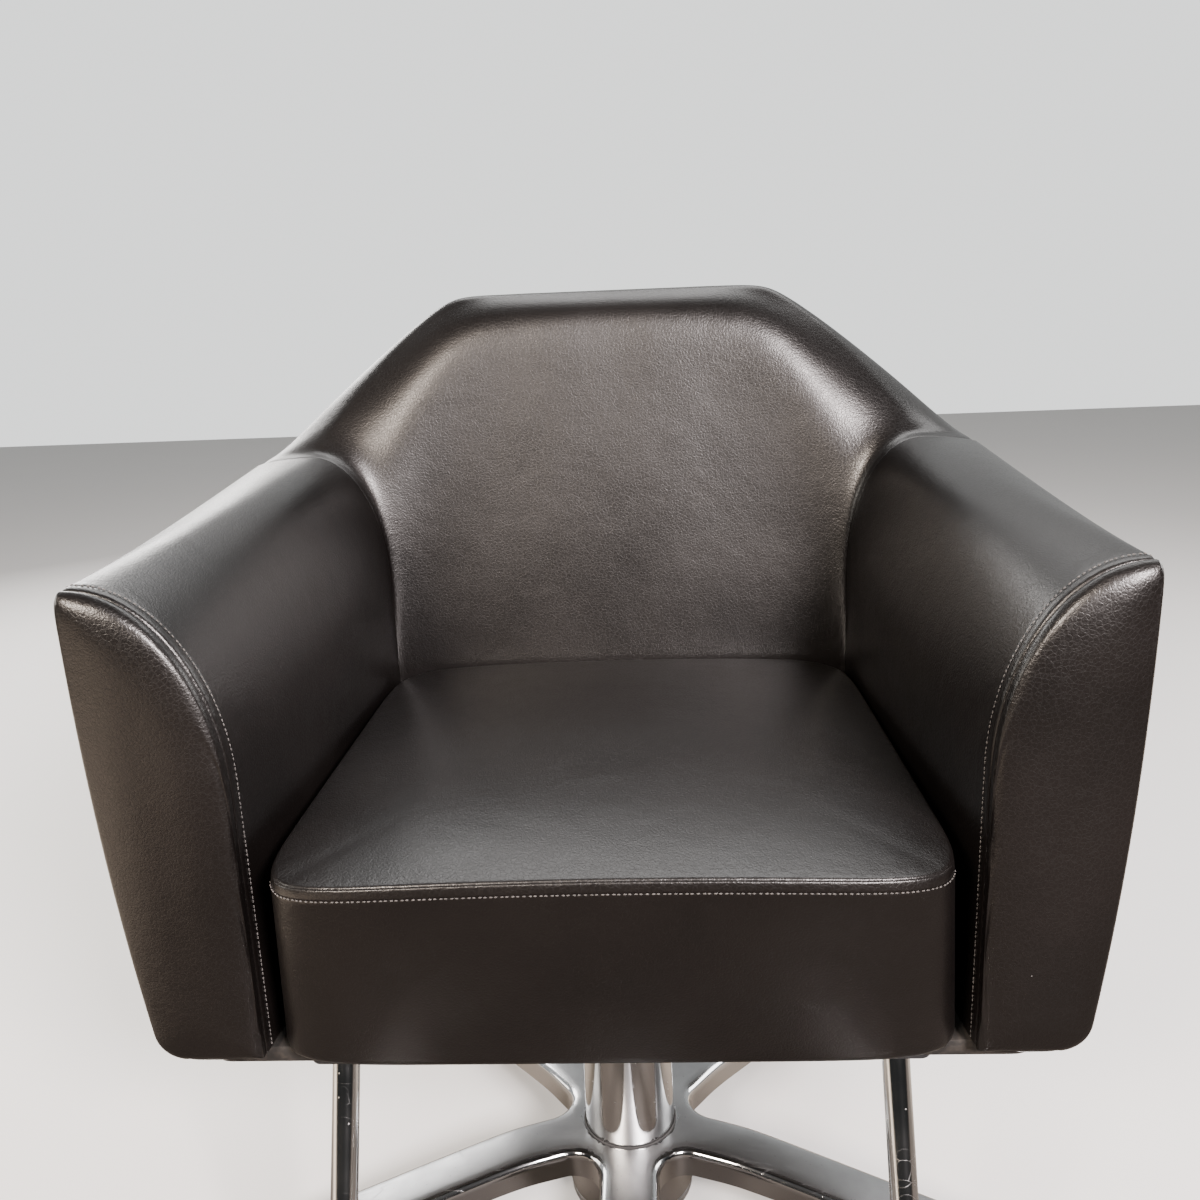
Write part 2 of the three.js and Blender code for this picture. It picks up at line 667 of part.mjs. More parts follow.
// ---- tub frame ------------------------------------------------------------------------------
const boardHigh = boardLow + BOARD_THICKNESS;
const padBase = TUB_BOTTOM + GAP;
const frameBase = padBase;
const armFrameX = (ARM_INNER_FRONT + ARM_OUTER_FRONT) / 2;
const armFrameTop = 560;
const armFrameFront = ARM_FRONT_Y + PANEL_THICKNESS + 22;
const backFrameY = SEAM_Y + 0.45 * BACK_DEPTH;
const backFrameTop = 570;
const backFrameHalf = 180;
const armBoltSetback = 60;

const armBolts = [-1, 1].flatMap((side) =>
  [armFrameFront + armBoltSetback, SEAM_Y - armBoltSetback].map((y) => ({ x: side * armFrameX, y })),
);

// A bore for each fastener that comes up from below.
function fastenerBores(points, radius, sides, high) {
  return points.map(({ x, y }) => post(radius + GAP, 0, high, x, y, sides));
}

function bottomBoard() {
  const half = ARM_OUTER_FRONT - ARM_BULGE - BOARD_INSET;
  const front = SEAT_FRONT_BOTTOM + BOARD_INSET;
  const rear = SEAM_Y + BACK_DEPTH * 0.5;
  const outline = roundedRectangle(-half, half, front, rear, 20, 70);
  const body = slab(outline, boardLow, boardHigh, 6);
  return cutFrom(
    body,
    ...fastenerBores(plateBolts, BOLT_RADIUS, 16, plateLow + boltLength + 1),
    ...fastenerBores(flangeScrews, SCREW_RADIUS, 12, flangeLow + flangeScrewLength + 1),
    ...fastenerBores(armBolts, SCREW_RADIUS, 12, TUB_BOTTOM + 10),
  );
}

function armFrame(side) {
  const x = side * armFrameX;
  const low = [x - PLY / 2, armFrameFront, frameBase];
  const high = [x + PLY / 2, SEAM_Y - 12, armFrameTop];
  const top = frameBase + 31;
  return cutFrom(block(low, high), ...fastenerBores(armBolts, SCREW_RADIUS, 12, top));
}

const seatPlyLow = [-SEAT_HALF_REAR + 25, SEAT_FRONT_BOTTOM + 30, frameBase];
const seatPlyHigh = [SEAT_HALF_REAR - 25, SEAM_Y - 30, frameBase + PLY];
const backFrameLow = [-backFrameHalf, backFrameY - PLY / 2, frameBase];
const backFrameHigh = [backFrameHalf, backFrameY + PLY / 2, backFrameTop];

// The room a board takes inside a cushion, open underneath.
function pocketFor(low, high) {
  const from = [low[0] - GAP, low[1] - GAP, low[2] - 20];
  const to = [high[0] + GAP, high[1] + GAP, high[2] + GAP];
  return block(from, to);
}

add("bottom_board", bottomBoard(), ply);
add("seat_board", block(seatPlyLow, seatPlyHigh), ply);
add("back_frame_board", block(backFrameLow, backFrameHigh), ply);
add("arm_frame_left", armFrame(-1), ply);
add("arm_frame_right", armFrame(1), ply);
armBolts.forEach(({ x, y }, i) => {
  const length = BOARD_THICKNESS + 28;
  const body = screw(x, y, boardLow, length, SCREW_RADIUS, SCREW_HEAD_RADIUS, SCREW_HEAD_HEIGHT, 12);
  add(`arm_screw_${i + 1}`, body, steel);
});

// ---- upholstery -----------------------------------------------------------------------------
const ROLL_SHARE = 0.8; // share of a wall's section that lies on its roll

// How far an outer wall draws in at a height, from its full half width.
function drawIn(z, top) {
  const down = clamp01((top - z) / (top - padBase));
  const corner = clamp01((padBase + ARM_CORNER - z) / ARM_CORNER);
  const round = ARM_CORNER * (1 - Math.sqrt(1 - corner * corner));
  return ARM_BULGE * Math.pow(down, 2.2) + round;
}

// Heights on a side wall, closer together where the bottom corner rounds off.
function rise(c) {
  const t = (c + 1) / 2;
  return t < 0.4 ? 0.1 * (t / 0.4) ** 2 : mix(0.1, 1, (t - 0.4) / 0.6);
}

// Section of an arm at a share of its length: inner wall, roll and level strip on top.
function armSection(share) {
  const outer = mix(ARM_OUTER_FRONT, ARM_OUTER_REAR, share);
  return {
    inner: mix(ARM_INNER_FRONT, ARM_INNER_REAR, share),
    outer,
    flat: outer - mix(ARM_FLAT_FRONT, ARM_FLAT_REAR, share),
    top: mix(ARM_TOP_FRONT, ARM_TOP_REAR, share),
    shoulder: mix(ARM_SHOULDER_FRONT, ARM_SHOULDER_REAR, share),
  };
}

// A point of an arm's section, from inner wall to outer (t) and from bottom to top (c).
function armPoint(section, t, c) {
  const angle = (clamp01(t / ROLL_SHARE) * Math.PI) / 2;
  const strip = clamp01((t - ROLL_SHARE) / (1 - ROLL_SHARE));
  const rolled = section.flat - (section.flat - section.inner) * Math.cos(angle);
  const plain = mix(rolled, section.outer, strip);
  const crown = 6 * strip * strip;
  const top = mix(section.shoulder, section.top, Math.sin(angle)) - crown;
  const z = mix(padBase, top, rise(c));
  const share = (plain - section.inner) / (section.outer - section.inner);
  const outer = section.outer - drawIn(z, section.top);
  return [mix(section.inner, outer, share), z];
}

const armLength = SEAM_Y - ARM_FRONT_Y;
const armShare = (y) => (y - ARM_FRONT_Y) / armLength;

function armPad(side) {
  const front = ARM_FRONT_Y + PANEL_THICKNESS + GAP;
  const rear = SEAM_Y - GAP;
  const body = formed([10, 6, 7], (a, b, c) => {
    const y = mix(front, rear, (b + 1) / 2);
    const [x, z] = armPoint(armSection(armShare(y)), (a * side + 1) / 2, c);
    return [side * x, y, z];
  });
  const x = side * armFrameX;
  const low = [x - PLY / 2, armFrameFront, frameBase];
  const high = [x + PLY / 2, SEAM_Y + 20, armFrameTop];
  return cutFrom(body, pocketFor(low, high));
}

// The panel that closes an arm's front, domed a little and rounded towards its seam.
function armFrontPanel(side) {
  return formed([12, 2, 8], (a, b, c) => {
    const y = b < 0.5 ? ARM_FRONT_Y : ARM_FRONT_Y + PANEL_THICKNESS;
    const [x, z] = armPoint(armSection(0), (a * side + 1) / 2, c);
    const shrink = b < -0.5 ? 4 : 0;
    const middleX = (ARM_INNER_FRONT + ARM_OUTER_FRONT) / 2;
    const middleZ = (padBase + ARM_SHOULDER_FRONT) / 2;
    const pull = shrink / 160;
    const front = b < 0.5 && b > -0.5 ? ARM_FRONT_Y + 5 : y;
    return [side * mix(x, middleX, pull * 2), front, mix(z, middleZ, pull)];
  });
}

// Plan of the tub's back: a square-shouldered curve from the seam plane round the rear.
function planCurve(angle, half, depth, squareness) {
  const power = 2 / squareness;
  return [
    half * Math.sign(angle) * Math.pow(Math.abs(Math.sin(angle)), power),
    SEAM_Y + depth * Math.pow(Math.abs(Math.cos(angle)), power),
  ];
}

const OUTER_SQUARENESS = 3;
const INNER_SQUARENESS = 5;
const SEAT_HOLLOW = 5; // how far the back's inner face lies behind the seam plane at seat height
const BACK_COLUMNS = 22;
const TOP_COLUMNS = 10; // columns of the back's grid that lie under the level top edge
const TOP_SHARE = TOP_COLUMNS / BACK_COLUMNS;
const cornerAngle = Math.asin(Math.pow(BACK_TOP_HALF / ARM_OUTER_REAR, OUTER_SQUARENESS / 2));

function backAngle(a) {
  const away = Math.abs(a);
  const past = (away - TOP_SHARE) / (1 - TOP_SHARE);
  if (past > 0) return Math.sign(a) * mix(cornerAngle, Math.PI / 2, past);
  const reach = Math.pow((BACK_TOP_HALF * away) / TOP_SHARE / ARM_OUTER_REAR, OUTER_SQUARENESS / 2);
  return Math.sign(a) * Math.asin(reach);
}

function backTop(x) {
  const share = clamp01((Math.abs(x) - BACK_TOP_HALF) / (ARM_OUTER_REAR - BACK_TOP_HALF));
  return mix(BACK_TOP, ARM_TOP_REAR, share) + BACK_SLOPE_BOW * Math.sin(Math.PI * share);
}

function backCushion() {
  const seam = armSection(1);
  const thickness = seam.outer - seam.inner;
  const body = formed([BACK_COLUMNS, 7, 8], (a, b, c) => {
    const angle = backAngle(a);
    const [outerX, outerY] = planCurve(angle, ARM_OUTER_REAR, BACK_DEPTH, OUTER_SQUARENESS);
    const [innerX, innerY] = planCurve(angle, ARM_INNER_REAR, SEAT_HOLLOW, INNER_SQUARENESS);
    const depth = Math.hypot(outerX - innerX, outerY - innerY);
    const middle = 1 - Math.pow(Math.abs(angle) / (Math.PI / 2), 1.5);
    const high = backTop(outerX);
    const section = {
      inner: 0,
      outer: depth,
      flat: depth - mix(ARM_FLAT_REAR, BACK_EDGE, middle) * Math.min(1, depth / thickness),
      top: high,
      shoulder: mix(ARM_SHOULDER_REAR, high - BACK_ROLL, middle),
    };
    const t = (b + 1) / 2;
    const [across, z] = armPoint(section, t, c);
    const up = clamp01((z - SEAT_TOP) / (high - SEAT_TOP));
    const leant = across + (1 - t) * BACK_LEAN * middle * up;
    const share = leant / depth;
    return [mix(innerX, outerX, share), mix(innerY, outerY, share), z];
  });
  return cutFrom(body, pocketFor(backFrameLow, backFrameHigh));
}

const PLAN_SQUARENESS = 18;
function squircle(a, b, power) {
  const size = Math.pow(Math.pow(Math.abs(a), power) + Math.pow(Math.abs(b), power), 1 / power);
  const scale = size > 0 ? Math.max(Math.abs(a), Math.abs(b)) / size : 1;
  return [a * scale, b * scale];
}

function seatCushion() {
  const rear = SEAM_Y - 2;
  const body = formed([12, 12, 5], (a, b, c) => {
    const [across, along] = squircle(a, b, PLAN_SQUARENESS);
    const low = 1 - (c + 1) / 2;
    const front = mix(SEAT_FRONT_TOP, SEAT_FRONT_BOTTOM, low) + 4 * (c > 0.99 ? 1 : 0);
    const y = mix(front, rear, (along + 1) / 2);
    const share = clamp01(armShare(y));
    const armFace = mix(ARM_INNER_FRONT, ARM_INNER_REAR, share) - SEAT_SIDE_PLAY;
    const half = mix(mix(SEAT_HALF_FRONT, SEAT_HALF_REAR, share), armFace, low);
    const crown = c > 0.99 ? SEAT_CROWN * (1 - a ** 4) * (1 - b ** 4) : 0;
    return [across * half, y, mix(padBase, SEAT_TOP, (c + 1) / 2) + crown];
  });
  return cutFrom(body, pocketFor(seatPlyLow, seatPlyHigh));
}

add("seat_cushion", seatCushion(), leather);
add("back_cushion", backCushion(), leather);
add("arm_pad_left", armPad(-1), leather);
add("arm_pad_right", armPad(1), leather);
add("arm_front_panel_left", armFrontPanel(-1), leather);
add("arm_front_panel_right", armFrontPanel(1), leather);

export default chair;
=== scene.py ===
"""Looks of a salon styling chair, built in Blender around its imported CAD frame.

Metres, +Z up, the origin on the floor under the column, and the sitter faces -Y. The upholstery is
modelled anew as padded, sewn pieces. The base, the column and the footrest are cast, turned and swept in
finer meshes. The pedal, glides, fasteners and boards keep their CAD shape and get a finish of their own.
"""
import json
import logging
import math
from dataclasses import dataclass, field
from enum import Enum
from typing import Callable, Iterable

import bmesh
import bpy
import numpy as np
from mathutils import Matrix, Vector, kdtree


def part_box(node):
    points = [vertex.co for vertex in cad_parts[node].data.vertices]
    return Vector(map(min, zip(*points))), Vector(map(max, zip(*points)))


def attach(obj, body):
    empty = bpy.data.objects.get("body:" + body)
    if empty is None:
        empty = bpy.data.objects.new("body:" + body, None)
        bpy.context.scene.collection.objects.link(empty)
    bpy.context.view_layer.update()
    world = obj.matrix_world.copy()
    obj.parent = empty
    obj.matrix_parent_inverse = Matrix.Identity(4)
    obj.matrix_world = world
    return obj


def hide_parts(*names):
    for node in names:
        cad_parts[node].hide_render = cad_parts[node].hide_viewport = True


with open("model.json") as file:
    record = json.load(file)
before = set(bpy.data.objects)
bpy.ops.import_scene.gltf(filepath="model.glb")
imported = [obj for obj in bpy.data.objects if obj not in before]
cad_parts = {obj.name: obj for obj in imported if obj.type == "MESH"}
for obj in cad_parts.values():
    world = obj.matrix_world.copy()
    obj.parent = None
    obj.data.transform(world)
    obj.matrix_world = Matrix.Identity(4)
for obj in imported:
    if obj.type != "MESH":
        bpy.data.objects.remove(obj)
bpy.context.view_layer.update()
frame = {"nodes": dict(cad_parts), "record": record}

LOG = logging.getLogger("styling_chair")

Colour = tuple[float, float, float]


class Body(Enum):
    """The bodies that pieces ride on."""

    BASE = "base"
    LIFT = "lift"
    SEAT = "seat"
    PEDAL = "pedal"
    PLUNGER = "plunger"


class Slot(Enum):
    """The record's material slots."""

    UPHOLSTERY = "upholstery"
    CHROME = "chrome"
    CAST_ALUMINIUM = "cast_aluminium"
    STEEL = "steel"
    BLACK_STEEL = "black_steel"
    RUBBER = "rubber"
    PLYWOOD = "plywood"


class Side(Enum):
    """A side of the chair, with its sign along X."""

    LEFT = -1
    RIGHT = 1

    @property
    def word(self) -> str:
        """The side's name in piece names."""
        return self.name.lower()


def mix(low: float, high: float, share: float) -> float:
    """Goes from low to high as share goes from 0 to 1."""
    return low + (high - low) * share


def clamp01(value: float) -> float:
    """Holds a value between 0 and 1."""
    return min(1.0, max(0.0, value))


# ---- node graphs ---------------------------------------------------------------------------------


class Graph:
    """Adds and joins the nodes of one node tree."""

    def __init__(self, tree: bpy.types.NodeTree) -> None:
        """Takes the tree that the nodes go into."""
        self.tree = tree

    def node(self, kind: str, inputs: dict | None = None, **settings: object) -> bpy.types.Node:
        """Adds one node.

        Args:
            kind: The node's type, without the ShaderNode in front.
            inputs: Values or sockets for its inputs, by name or number.
            settings: Values for the node's own properties.

        Returns:
            The new node.
        """
        whole = kind.startswith(("Node", "Geometry", "Function"))
        made = self.tree.nodes.new(kind if whole else "ShaderNode" + kind)
        for name, value in settings.items():
            setattr(made, name, value)
        for name, value in (inputs or {}).items():
            if isinstance(value, bpy.types.NodeSocket):
                self.tree.links.new(value, made.inputs[name])
            else:
                made.inputs[name].default_value = value
        return made

    def math(self, operation: str, first: object, second: object = 0.0) -> bpy.types.NodeSocket:
        """Returns the result of a Math node on two values or sockets."""
        return self.node("Math", {0: first, 1: second}, operation=operation).outputs[0]

    def ranged(
        self, value: object, low: float, high: float, start: float, end: float
    ) -> bpy.types.NodeSocket:
        """Maps a value from low..high to start..end, held at both ends.

        Args:
            value: The value or socket to map.
            low: The value that gives start.
            high: The value that gives end.
            start: What low becomes.
            end: What high becomes.

        Returns:
            The mapped value's socket.
        """
        values = {"Value": value, "From Min": low, "From Max": high, "To Min": start, "To Max": end}
        return self.node("MapRange", values).outputs[0]

    def blend(self, share: object, first: object, second: object) -> bpy.types.NodeSocket:
        """Mixes two colours by a share and returns the colour's socket."""
        made = self.node("Mix", {0: share, 6: first, 7: second}, data_type="RGBA")
        return made.outputs[2]

    def place(self, scale: tuple[float, float, float] = (1.0, 1.0, 1.0)) -> bpy.types.NodeSocket:
        """Returns object coordinates, stretched by a scale along each axis."""
        coordinates = self.node("TexCoord").outputs["Object"]
        return self.node("Mapping", {"Vector": coordinates, "Scale": scale}).outputs[0]

    def noise(
        self, place: object, scale: float, detail: float = 2.0, rough: float = 0.5
    ) -> bpy.types.NodeSocket:
        """Returns the value of a Noise texture.

        Args:
            place: The coordinates' socket.
            scale: Cells in a metre.
            detail: Octaves.
            rough: How much of each finer octave shows.

        Returns:
            The noise value's socket.
        """
        values = {"Vector": place, "Scale": scale, "Detail": detail, "Roughness": rough}
        return self.node("TexNoise", values).outputs[0]


def rgba(colour: Colour) -> tuple[float, float, float, float]:
    """Gives a colour its alpha."""
    return (*colour, 1.0)


class Effect:
    """A shader node group that several finishes share. It is built once, when it is first placed."""

    name = "effect"
    inputs: dict[str, tuple[str, float]] = {}
    outputs: tuple[str, ...] = ()

    @classmethod
    def build(cls, graph: Graph, given: bpy.types.Node, out: bpy.types.Node) -> None:
        """Fills the group between its input and its output node."""
        raise NotImplementedError

    @classmethod
    def place(cls, graph: Graph, where: object, **values: float) -> bpy.types.Node:
        """Places the group in a material.

        Args:
            graph: The material's graph.
            where: The coordinates' socket.
            values: The group's inputs, with underscores for spaces.

        Returns:
            The group node.
        """
        tree = bpy.data.node_groups.get(cls.name) or cls._made()
        node = graph.tree.nodes.new("ShaderNodeGroup")
        node.node_tree = tree
        graph.tree.links.new(where, node.inputs["Place"])
        for name, value in values.items():
            node.inputs[name.replace("_", " ")].default_value = value
        return node

    @classmethod
    def _made(cls) -> bpy.types.NodeTree:
        """Makes the group with its sockets."""
        tree = bpy.data.node_groups.new(cls.name, "ShaderNodeTree")
        tree.interface.new_socket("Place", in_out="INPUT", socket_type="NodeSocketVector")
        for name, value in cls.inputs.items():
            socket = tree.interface.new_socket(name, in_out="INPUT", socket_type="NodeSocketFloat")
            socket.default_value = value
        for name in cls.outputs:
            tree.interface.new_socket(name, in_out="OUTPUT", socket_type="NodeSocketFloat")
        graph = Graph(tree)
        cls.build(graph, graph.node("NodeGroupInput"), graph.node("NodeGroupOutput"))
        return tree


class HideGrain(Effect):
    """Fine pebble grain pressed into leatherette: rounded cells with creases between them."""

    name = "hide_grain"
    inputs = {"Scale": 640.0, "Warp": 0.0009}
    outputs = ("Height", "Crease")

    @classmethod
    def build(cls, graph: Graph, given: bpy.types.Node, out: bpy.types.Node) -> None:
        """Cells from a smooth Voronoi, bent by noise, with finer wrinkles over them."""
        coordinates = given.outputs["Place"]
        scale = given.outputs["Scale"]
        waves = {"Vector": coordinates, "Scale": 260.0, "Detail": 2.0}
        wander = graph.node("TexNoise", waves).outputs["Color"]
        centred = graph.node("VectorMath", {0: wander, 1: (0.5, 0.5, 0.5)}, operation="SUBTRACT").outputs[0]
        warp = given.outputs["Warp"]
        bent = graph.node("VectorMath", {0: centred, "Scale": warp}, operation="SCALE").outputs[0]
        moved = graph.node("VectorMath", {0: coordinates, 1: bent}, operation="ADD").outputs[0]
        cell_inputs = {"Vector": moved, "Scale": scale, "Smoothness": 0.7}
        cells = graph.node("TexVoronoi", cell_inputs, feature="SMOOTH_F1").outputs["Distance"]
        domed = graph.ranged(cells, 0.1, 0.75, 1.0, 0.0)
        fold_inputs = {"Vector": moved, "Scale": graph.math("MULTIPLY", scale, 0.42)}
        folds = graph.node("TexVoronoi", fold_inputs, feature="DISTANCE_TO_EDGE").outputs["Distance"]
        crease = graph.ranged(folds, 0.0, 0.14, 1.0, 0.0)
        fine = graph.node("TexNoise", {"Vector": coordinates, "Scale": 2600.0, "Detail": 3.0}).outputs[0]
        height = graph.math("ADD", graph.math("MULTIPLY", domed, 0.7), graph.math("MULTIPLY", fine, 0.3))
        height = graph.math("SUBTRACT", height, graph.math("MULTIPLY", crease, 0.45))
        graph.tree.links.new(height, out.inputs["Height"])
        graph.tree.links.new(crease, out.inputs["Crease"])


class Blotches(Effect):
    """Large soft patches, for handling marks and uneven dye."""

    name = "blotches"
    inputs = {"Scale": 9.0}
    outputs = ("Value",)

    @classmethod
    def build(cls, graph: Graph, given: bpy.types.Node, out: bpy.types.Node) -> None:
        """Two octaves of noise, spread over the whole of 0 to 1."""
        values = {"Vector": given.outputs["Place"], "Scale": given.outputs["Scale"], "Detail": 4.0}
        cloud = graph.node("TexNoise", values).outputs[0]
        graph.tree.links.new(graph.ranged(cloud, 0.3, 0.7, 0.0, 1.0), out.inputs["Value"])


class EdgeWear(Effect):
    """Rubbed edges: where the surface is sharply convex, broken up by noise."""

    name = "edge_wear"
    inputs = {"Low": 0.52, "High": 0.6, "Scale": 240.0}
    outputs = ("Mask",)

    @classmethod
    def build(cls, graph: Graph, given: bpy.types.Node, out: bpy.types.Node) -> None:
        """Pointiness between Low and High, times noise."""
        point = graph.node("NewGeometry").outputs["Pointiness"]
        values = {"Value": point, "From Min": given.outputs["Low"], "From Max": given.outputs["High"]}
        edge = graph.node("MapRange", values).outputs[0]
        spots_inputs = {"Vector": given.outputs["Place"], "Scale": given.outputs["Scale"], "Detail": 4.0}
        spots = graph.node("TexNoise", spots_inputs).outputs[0]
        broken = graph.ranged(spots, 0.42, 0.62, 0.0, 1.0)
        graph.tree.links.new(graph.math("MULTIPLY", edge, broken), out.inputs["Mask"])


class Specks(Effect):
    """Sparse specks of dust or lint."""

    name = "specks"
    inputs = {"Scale": 70.0, "Share": 0.12, "Size": 0.05}
    outputs = ("Mask",)

    @classmethod
    def build(cls, graph: Graph, given: bpy.types.Node, out: bpy.types.Node) -> None:
        """A dot at the middle of some of a Voronoi's cells."""
        values = {"Vector": given.outputs["Place"], "Scale": given.outputs["Scale"]}
        cells = graph.node("TexVoronoi", values)
        near = graph.math("LESS_THAN", cells.outputs["Distance"], given.outputs["Size"])
        chosen = graph.node("SeparateColor", {0: cells.outputs["Color"]}).outputs[0]
        some = graph.math("LESS_THAN", chosen, given.outputs["Share"])
        graph.tree.links.new(graph.math("MULTIPLY", near, some), out.inputs["Mask"])


class FineScratches(Effect):
    """Hairline scratches that cross each other."""

    name = "fine_scratches"
    inputs = {"Scale": 90.0, "Width": 0.02}
    outputs = ("Mask",)

    @classmethod
    def build(cls, graph: Graph, given: bpy.types.Node, out: bpy.types.Node) -> None:
        """The thin edges of a stretched Voronoi, seen only in patches."""
        stretched = graph.node("Mapping", {"Vector": given.outputs["Place"], "Rotation": (0.4, 0.7, 0.3)})
        stretched.inputs["Scale"].default_value = (0.12, 1.0, 0.5)
        values = {"Vector": stretched.outputs[0], "Scale": given.outputs["Scale"]}
        lines = graph.node("TexVoronoi", values, feature="DISTANCE_TO_EDGE").outputs["Distance"]
        thin = graph.math("LESS_THAN", lines, given.outputs["Width"])
        patches = graph.noise(given.outputs["Place"], 30.0, 3.0)
        shown = graph.math("MULTIPLY", thin, graph.ranged(patches, 0.45, 0.6, 0.0, 1.0))
        graph.tree.links.new(shown, out.inputs["Mask"])


# ---- finishes ------------------------------------------------------------------------------------


@dataclass(frozen=True)
class Finish:
    """A surface finish that makes one Blender material."""

    name: str

    def material(self) -> bpy.types.Material:
        """Returns the finish's material, made when it is first asked for."""
        found = bpy.data.materials.get(self.name)
        if found:
            return found
        made = bpy.data.materials.new(self.name)
        made.use_nodes = True
        made.node_tree.nodes.clear()
        graph = Graph(made.node_tree)
        shader = graph.node("BsdfPrincipled")
        graph.node("OutputMaterial", {"Surface": shader.outputs[0]})
        self.dress(graph, shader)
        return made

    def dress(self, graph: Graph, shader: bpy.types.Node) -> None:
        """Adds the nodes that feed the shader."""
        raise NotImplementedError

    @staticmethod
    def feed(graph: Graph, shader: bpy.types.Node, **sockets: object) -> None:
        """Sets or links the shader's inputs, named with underscores for spaces.

        Args:
            graph: The material's graph.
            shader: The shader node.
            sockets: Values or sockets by input name.
        """
        for name, value in sockets.items():
            target = shader.inputs[name.replace("_", " ")]
            if isinstance(value, bpy.types.NodeSocket):
                graph.tree.links.new(value, target)
            else:
                target.default_value = value

    @staticmethod
    def bump(
        graph: Graph, height: object, strength: float, distance: float, below: object = None
    ) -> object:
        """Adds a Bump node.

        Args:
            graph: The material's graph.
            height: The height's socket.
            strength: How strongly it shows.
            distance: The height of 1, in metres.
            below: The normal of a bump that this one lies on.

        Returns:
            The new normal's socket.
        """
        inputs = {"Height": height, "Strength": strength, "Distance": distance}
        if below is not None:
            inputs["Normal"] = below
        return graph.node("Bump", inputs).outputs[0]


@dataclass(frozen=True)
class Leatherette(Finish):
    """Black leatherette: pebble grain, pulls at the seams, rubbed corners and a few specks of dust."""

    name: str = "black_leatherette"
    dye: Colour = (0.0022, 0.0016, 0.0015)
    worn: Colour = (0.0055, 0.0040, 0.0036)
    rubbed: Colour = (0.16, 0.14, 0.125)
    dust: Colour = (0.3, 0.3, 0.3)
    gloss: float = 0.315
    grain: float = 700.0

    def dress(self, graph: Graph, shader: bpy.types.Node) -> None:
        """Dye and roughness vary in patches; grain and seam pulls are bumps."""
        place = graph.place()
        grain = HideGrain.place(graph, place, Scale=self.grain)
        patches = Blotches.place(graph, place, Scale=7.0).outputs[0]
        wear = EdgeWear.place(graph, place, Low=0.56, High=0.68, Scale=420.0).outputs[0]
        specks = Specks.place(graph, place, Scale=62.0, Share=0.1, Size=0.022).outputs[0]
        dyed = graph.blend(graph.math("MULTIPLY", patches, 0.6), rgba(self.dye), rgba(self.worn))
        dyed = graph.blend(graph.math("MULTIPLY", wear, 0.5), dyed, rgba(self.rubbed))
        dyed = graph.blend(graph.math("MULTIPLY", specks, 0.55), dyed, rgba(self.dust))
        rough = graph.math("ADD", self.gloss, graph.math("MULTIPLY", grain.outputs["Crease"], 0.07))
        rough = graph.math("ADD", rough, graph.ranged(patches, 0.0, 1.0, -0.03, 0.05))
        near = graph.node("Attribute", attribute_name="near_seam").outputs["Fac"]
        pulls = graph.noise(graph.place(), 150.0, 2.0, 0.45)
        pulled = self.bump(graph, graph.math("MULTIPLY", pulls, near), 0.5, 0.0008)
        waves = self.bump(graph, graph.noise(graph.place(), 34.0, 2.0), 0.35, 0.0012, pulled)
        fine = self.bump(graph, grain.outputs["Height"], 0.45, 0.00020, waves)
        self.feed(graph, shader, Base_Color=dyed, Roughness=rough, Normal=fine)
        self.feed(graph, shader, Coat_Weight=0.06, Coat_Roughness=0.25)


@dataclass(frozen=True)
class Thread(Finish):
    """Bonded sewing thread, twisted from three plies."""

    name: str = "sewing_thread"
    colour: Colour = (0.115, 0.105, 0.10)
    shade: Colour = (0.04, 0.036, 0.034)

    def dress(self, graph: Graph, shader: bpy.types.Node) -> None:
        """Plies as fine diagonal bands, and slight dirt in patches."""
        twist = {"Vector": graph.place(), "Scale": 900.0, "Distortion": 1.5}
        bands = graph.node("TexWave", twist).outputs["Fac"]
        patches = graph.noise(graph.place(), 60.0, 3.0)
        share = graph.math("MULTIPLY", graph.ranged(patches, 0.35, 0.65, 0.2, 1.0), 0.8)
        colour = graph.blend(share, rgba(self.colour), rgba(self.shade))
        normal = self.bump(graph, bands, 0.5, 0.00015)
        self.feed(graph, shader, Base_Color=colour, Normal=normal, Roughness=0.62, Sheen_Weight=0.2)


@dataclass(frozen=True)
class Polished(Finish):
    """Mirror-bright plating with a little haze, fine scratches and pits."""

    name: str = "mirror_chrome"
    metal: Colour = (0.80, 0.81, 0.82)
    tarnish: Colour = (0.56, 0.55, 0.53)
    low: float = 0.045
    high: float = 0.13

    def dress(self, graph: Graph, shader: bpy.types.Node) -> None:
        """Haze and scratches in the roughness, and faint long waves in the plating."""
        place = graph.place()
        haze = Blotches.place(graph, place, Scale=22.0).outputs[0]
        scratches = FineScratches.place(graph, place, Scale=160.0, Width=0.012).outputs[0]
        pits = Specks.place(graph, place, Scale=260.0, Share=0.05, Size=0.16).outputs[0]
        rough = graph.ranged(haze, 0.0, 1.0, self.low, self.high)
        rough = graph.math("ADD", rough, graph.math("MULTIPLY", scratches, 0.16))
        rough = graph.math("ADD", rough, graph.math("MULTIPLY", pits, 0.3))
        stain = graph.math("MAXIMUM", graph.math("MULTIPLY", haze, 0.22), graph.math("MULTIPLY", pits, 0.7))
        colour = graph.blend(stain, rgba(self.metal), rgba(self.tarnish))
        waves = self.bump(graph, graph.noise(graph.place((1.0, 1.0, 0.35)), 30.0, 1.0), 0.12, 0.0006)
        fine = self.bump(graph, graph.math("ADD", scratches, pits), 0.1, 0.0001, waves)
        self.feed(graph, shader, Base_Color=colour, Roughness=rough, Normal=fine, Metallic=1.0)


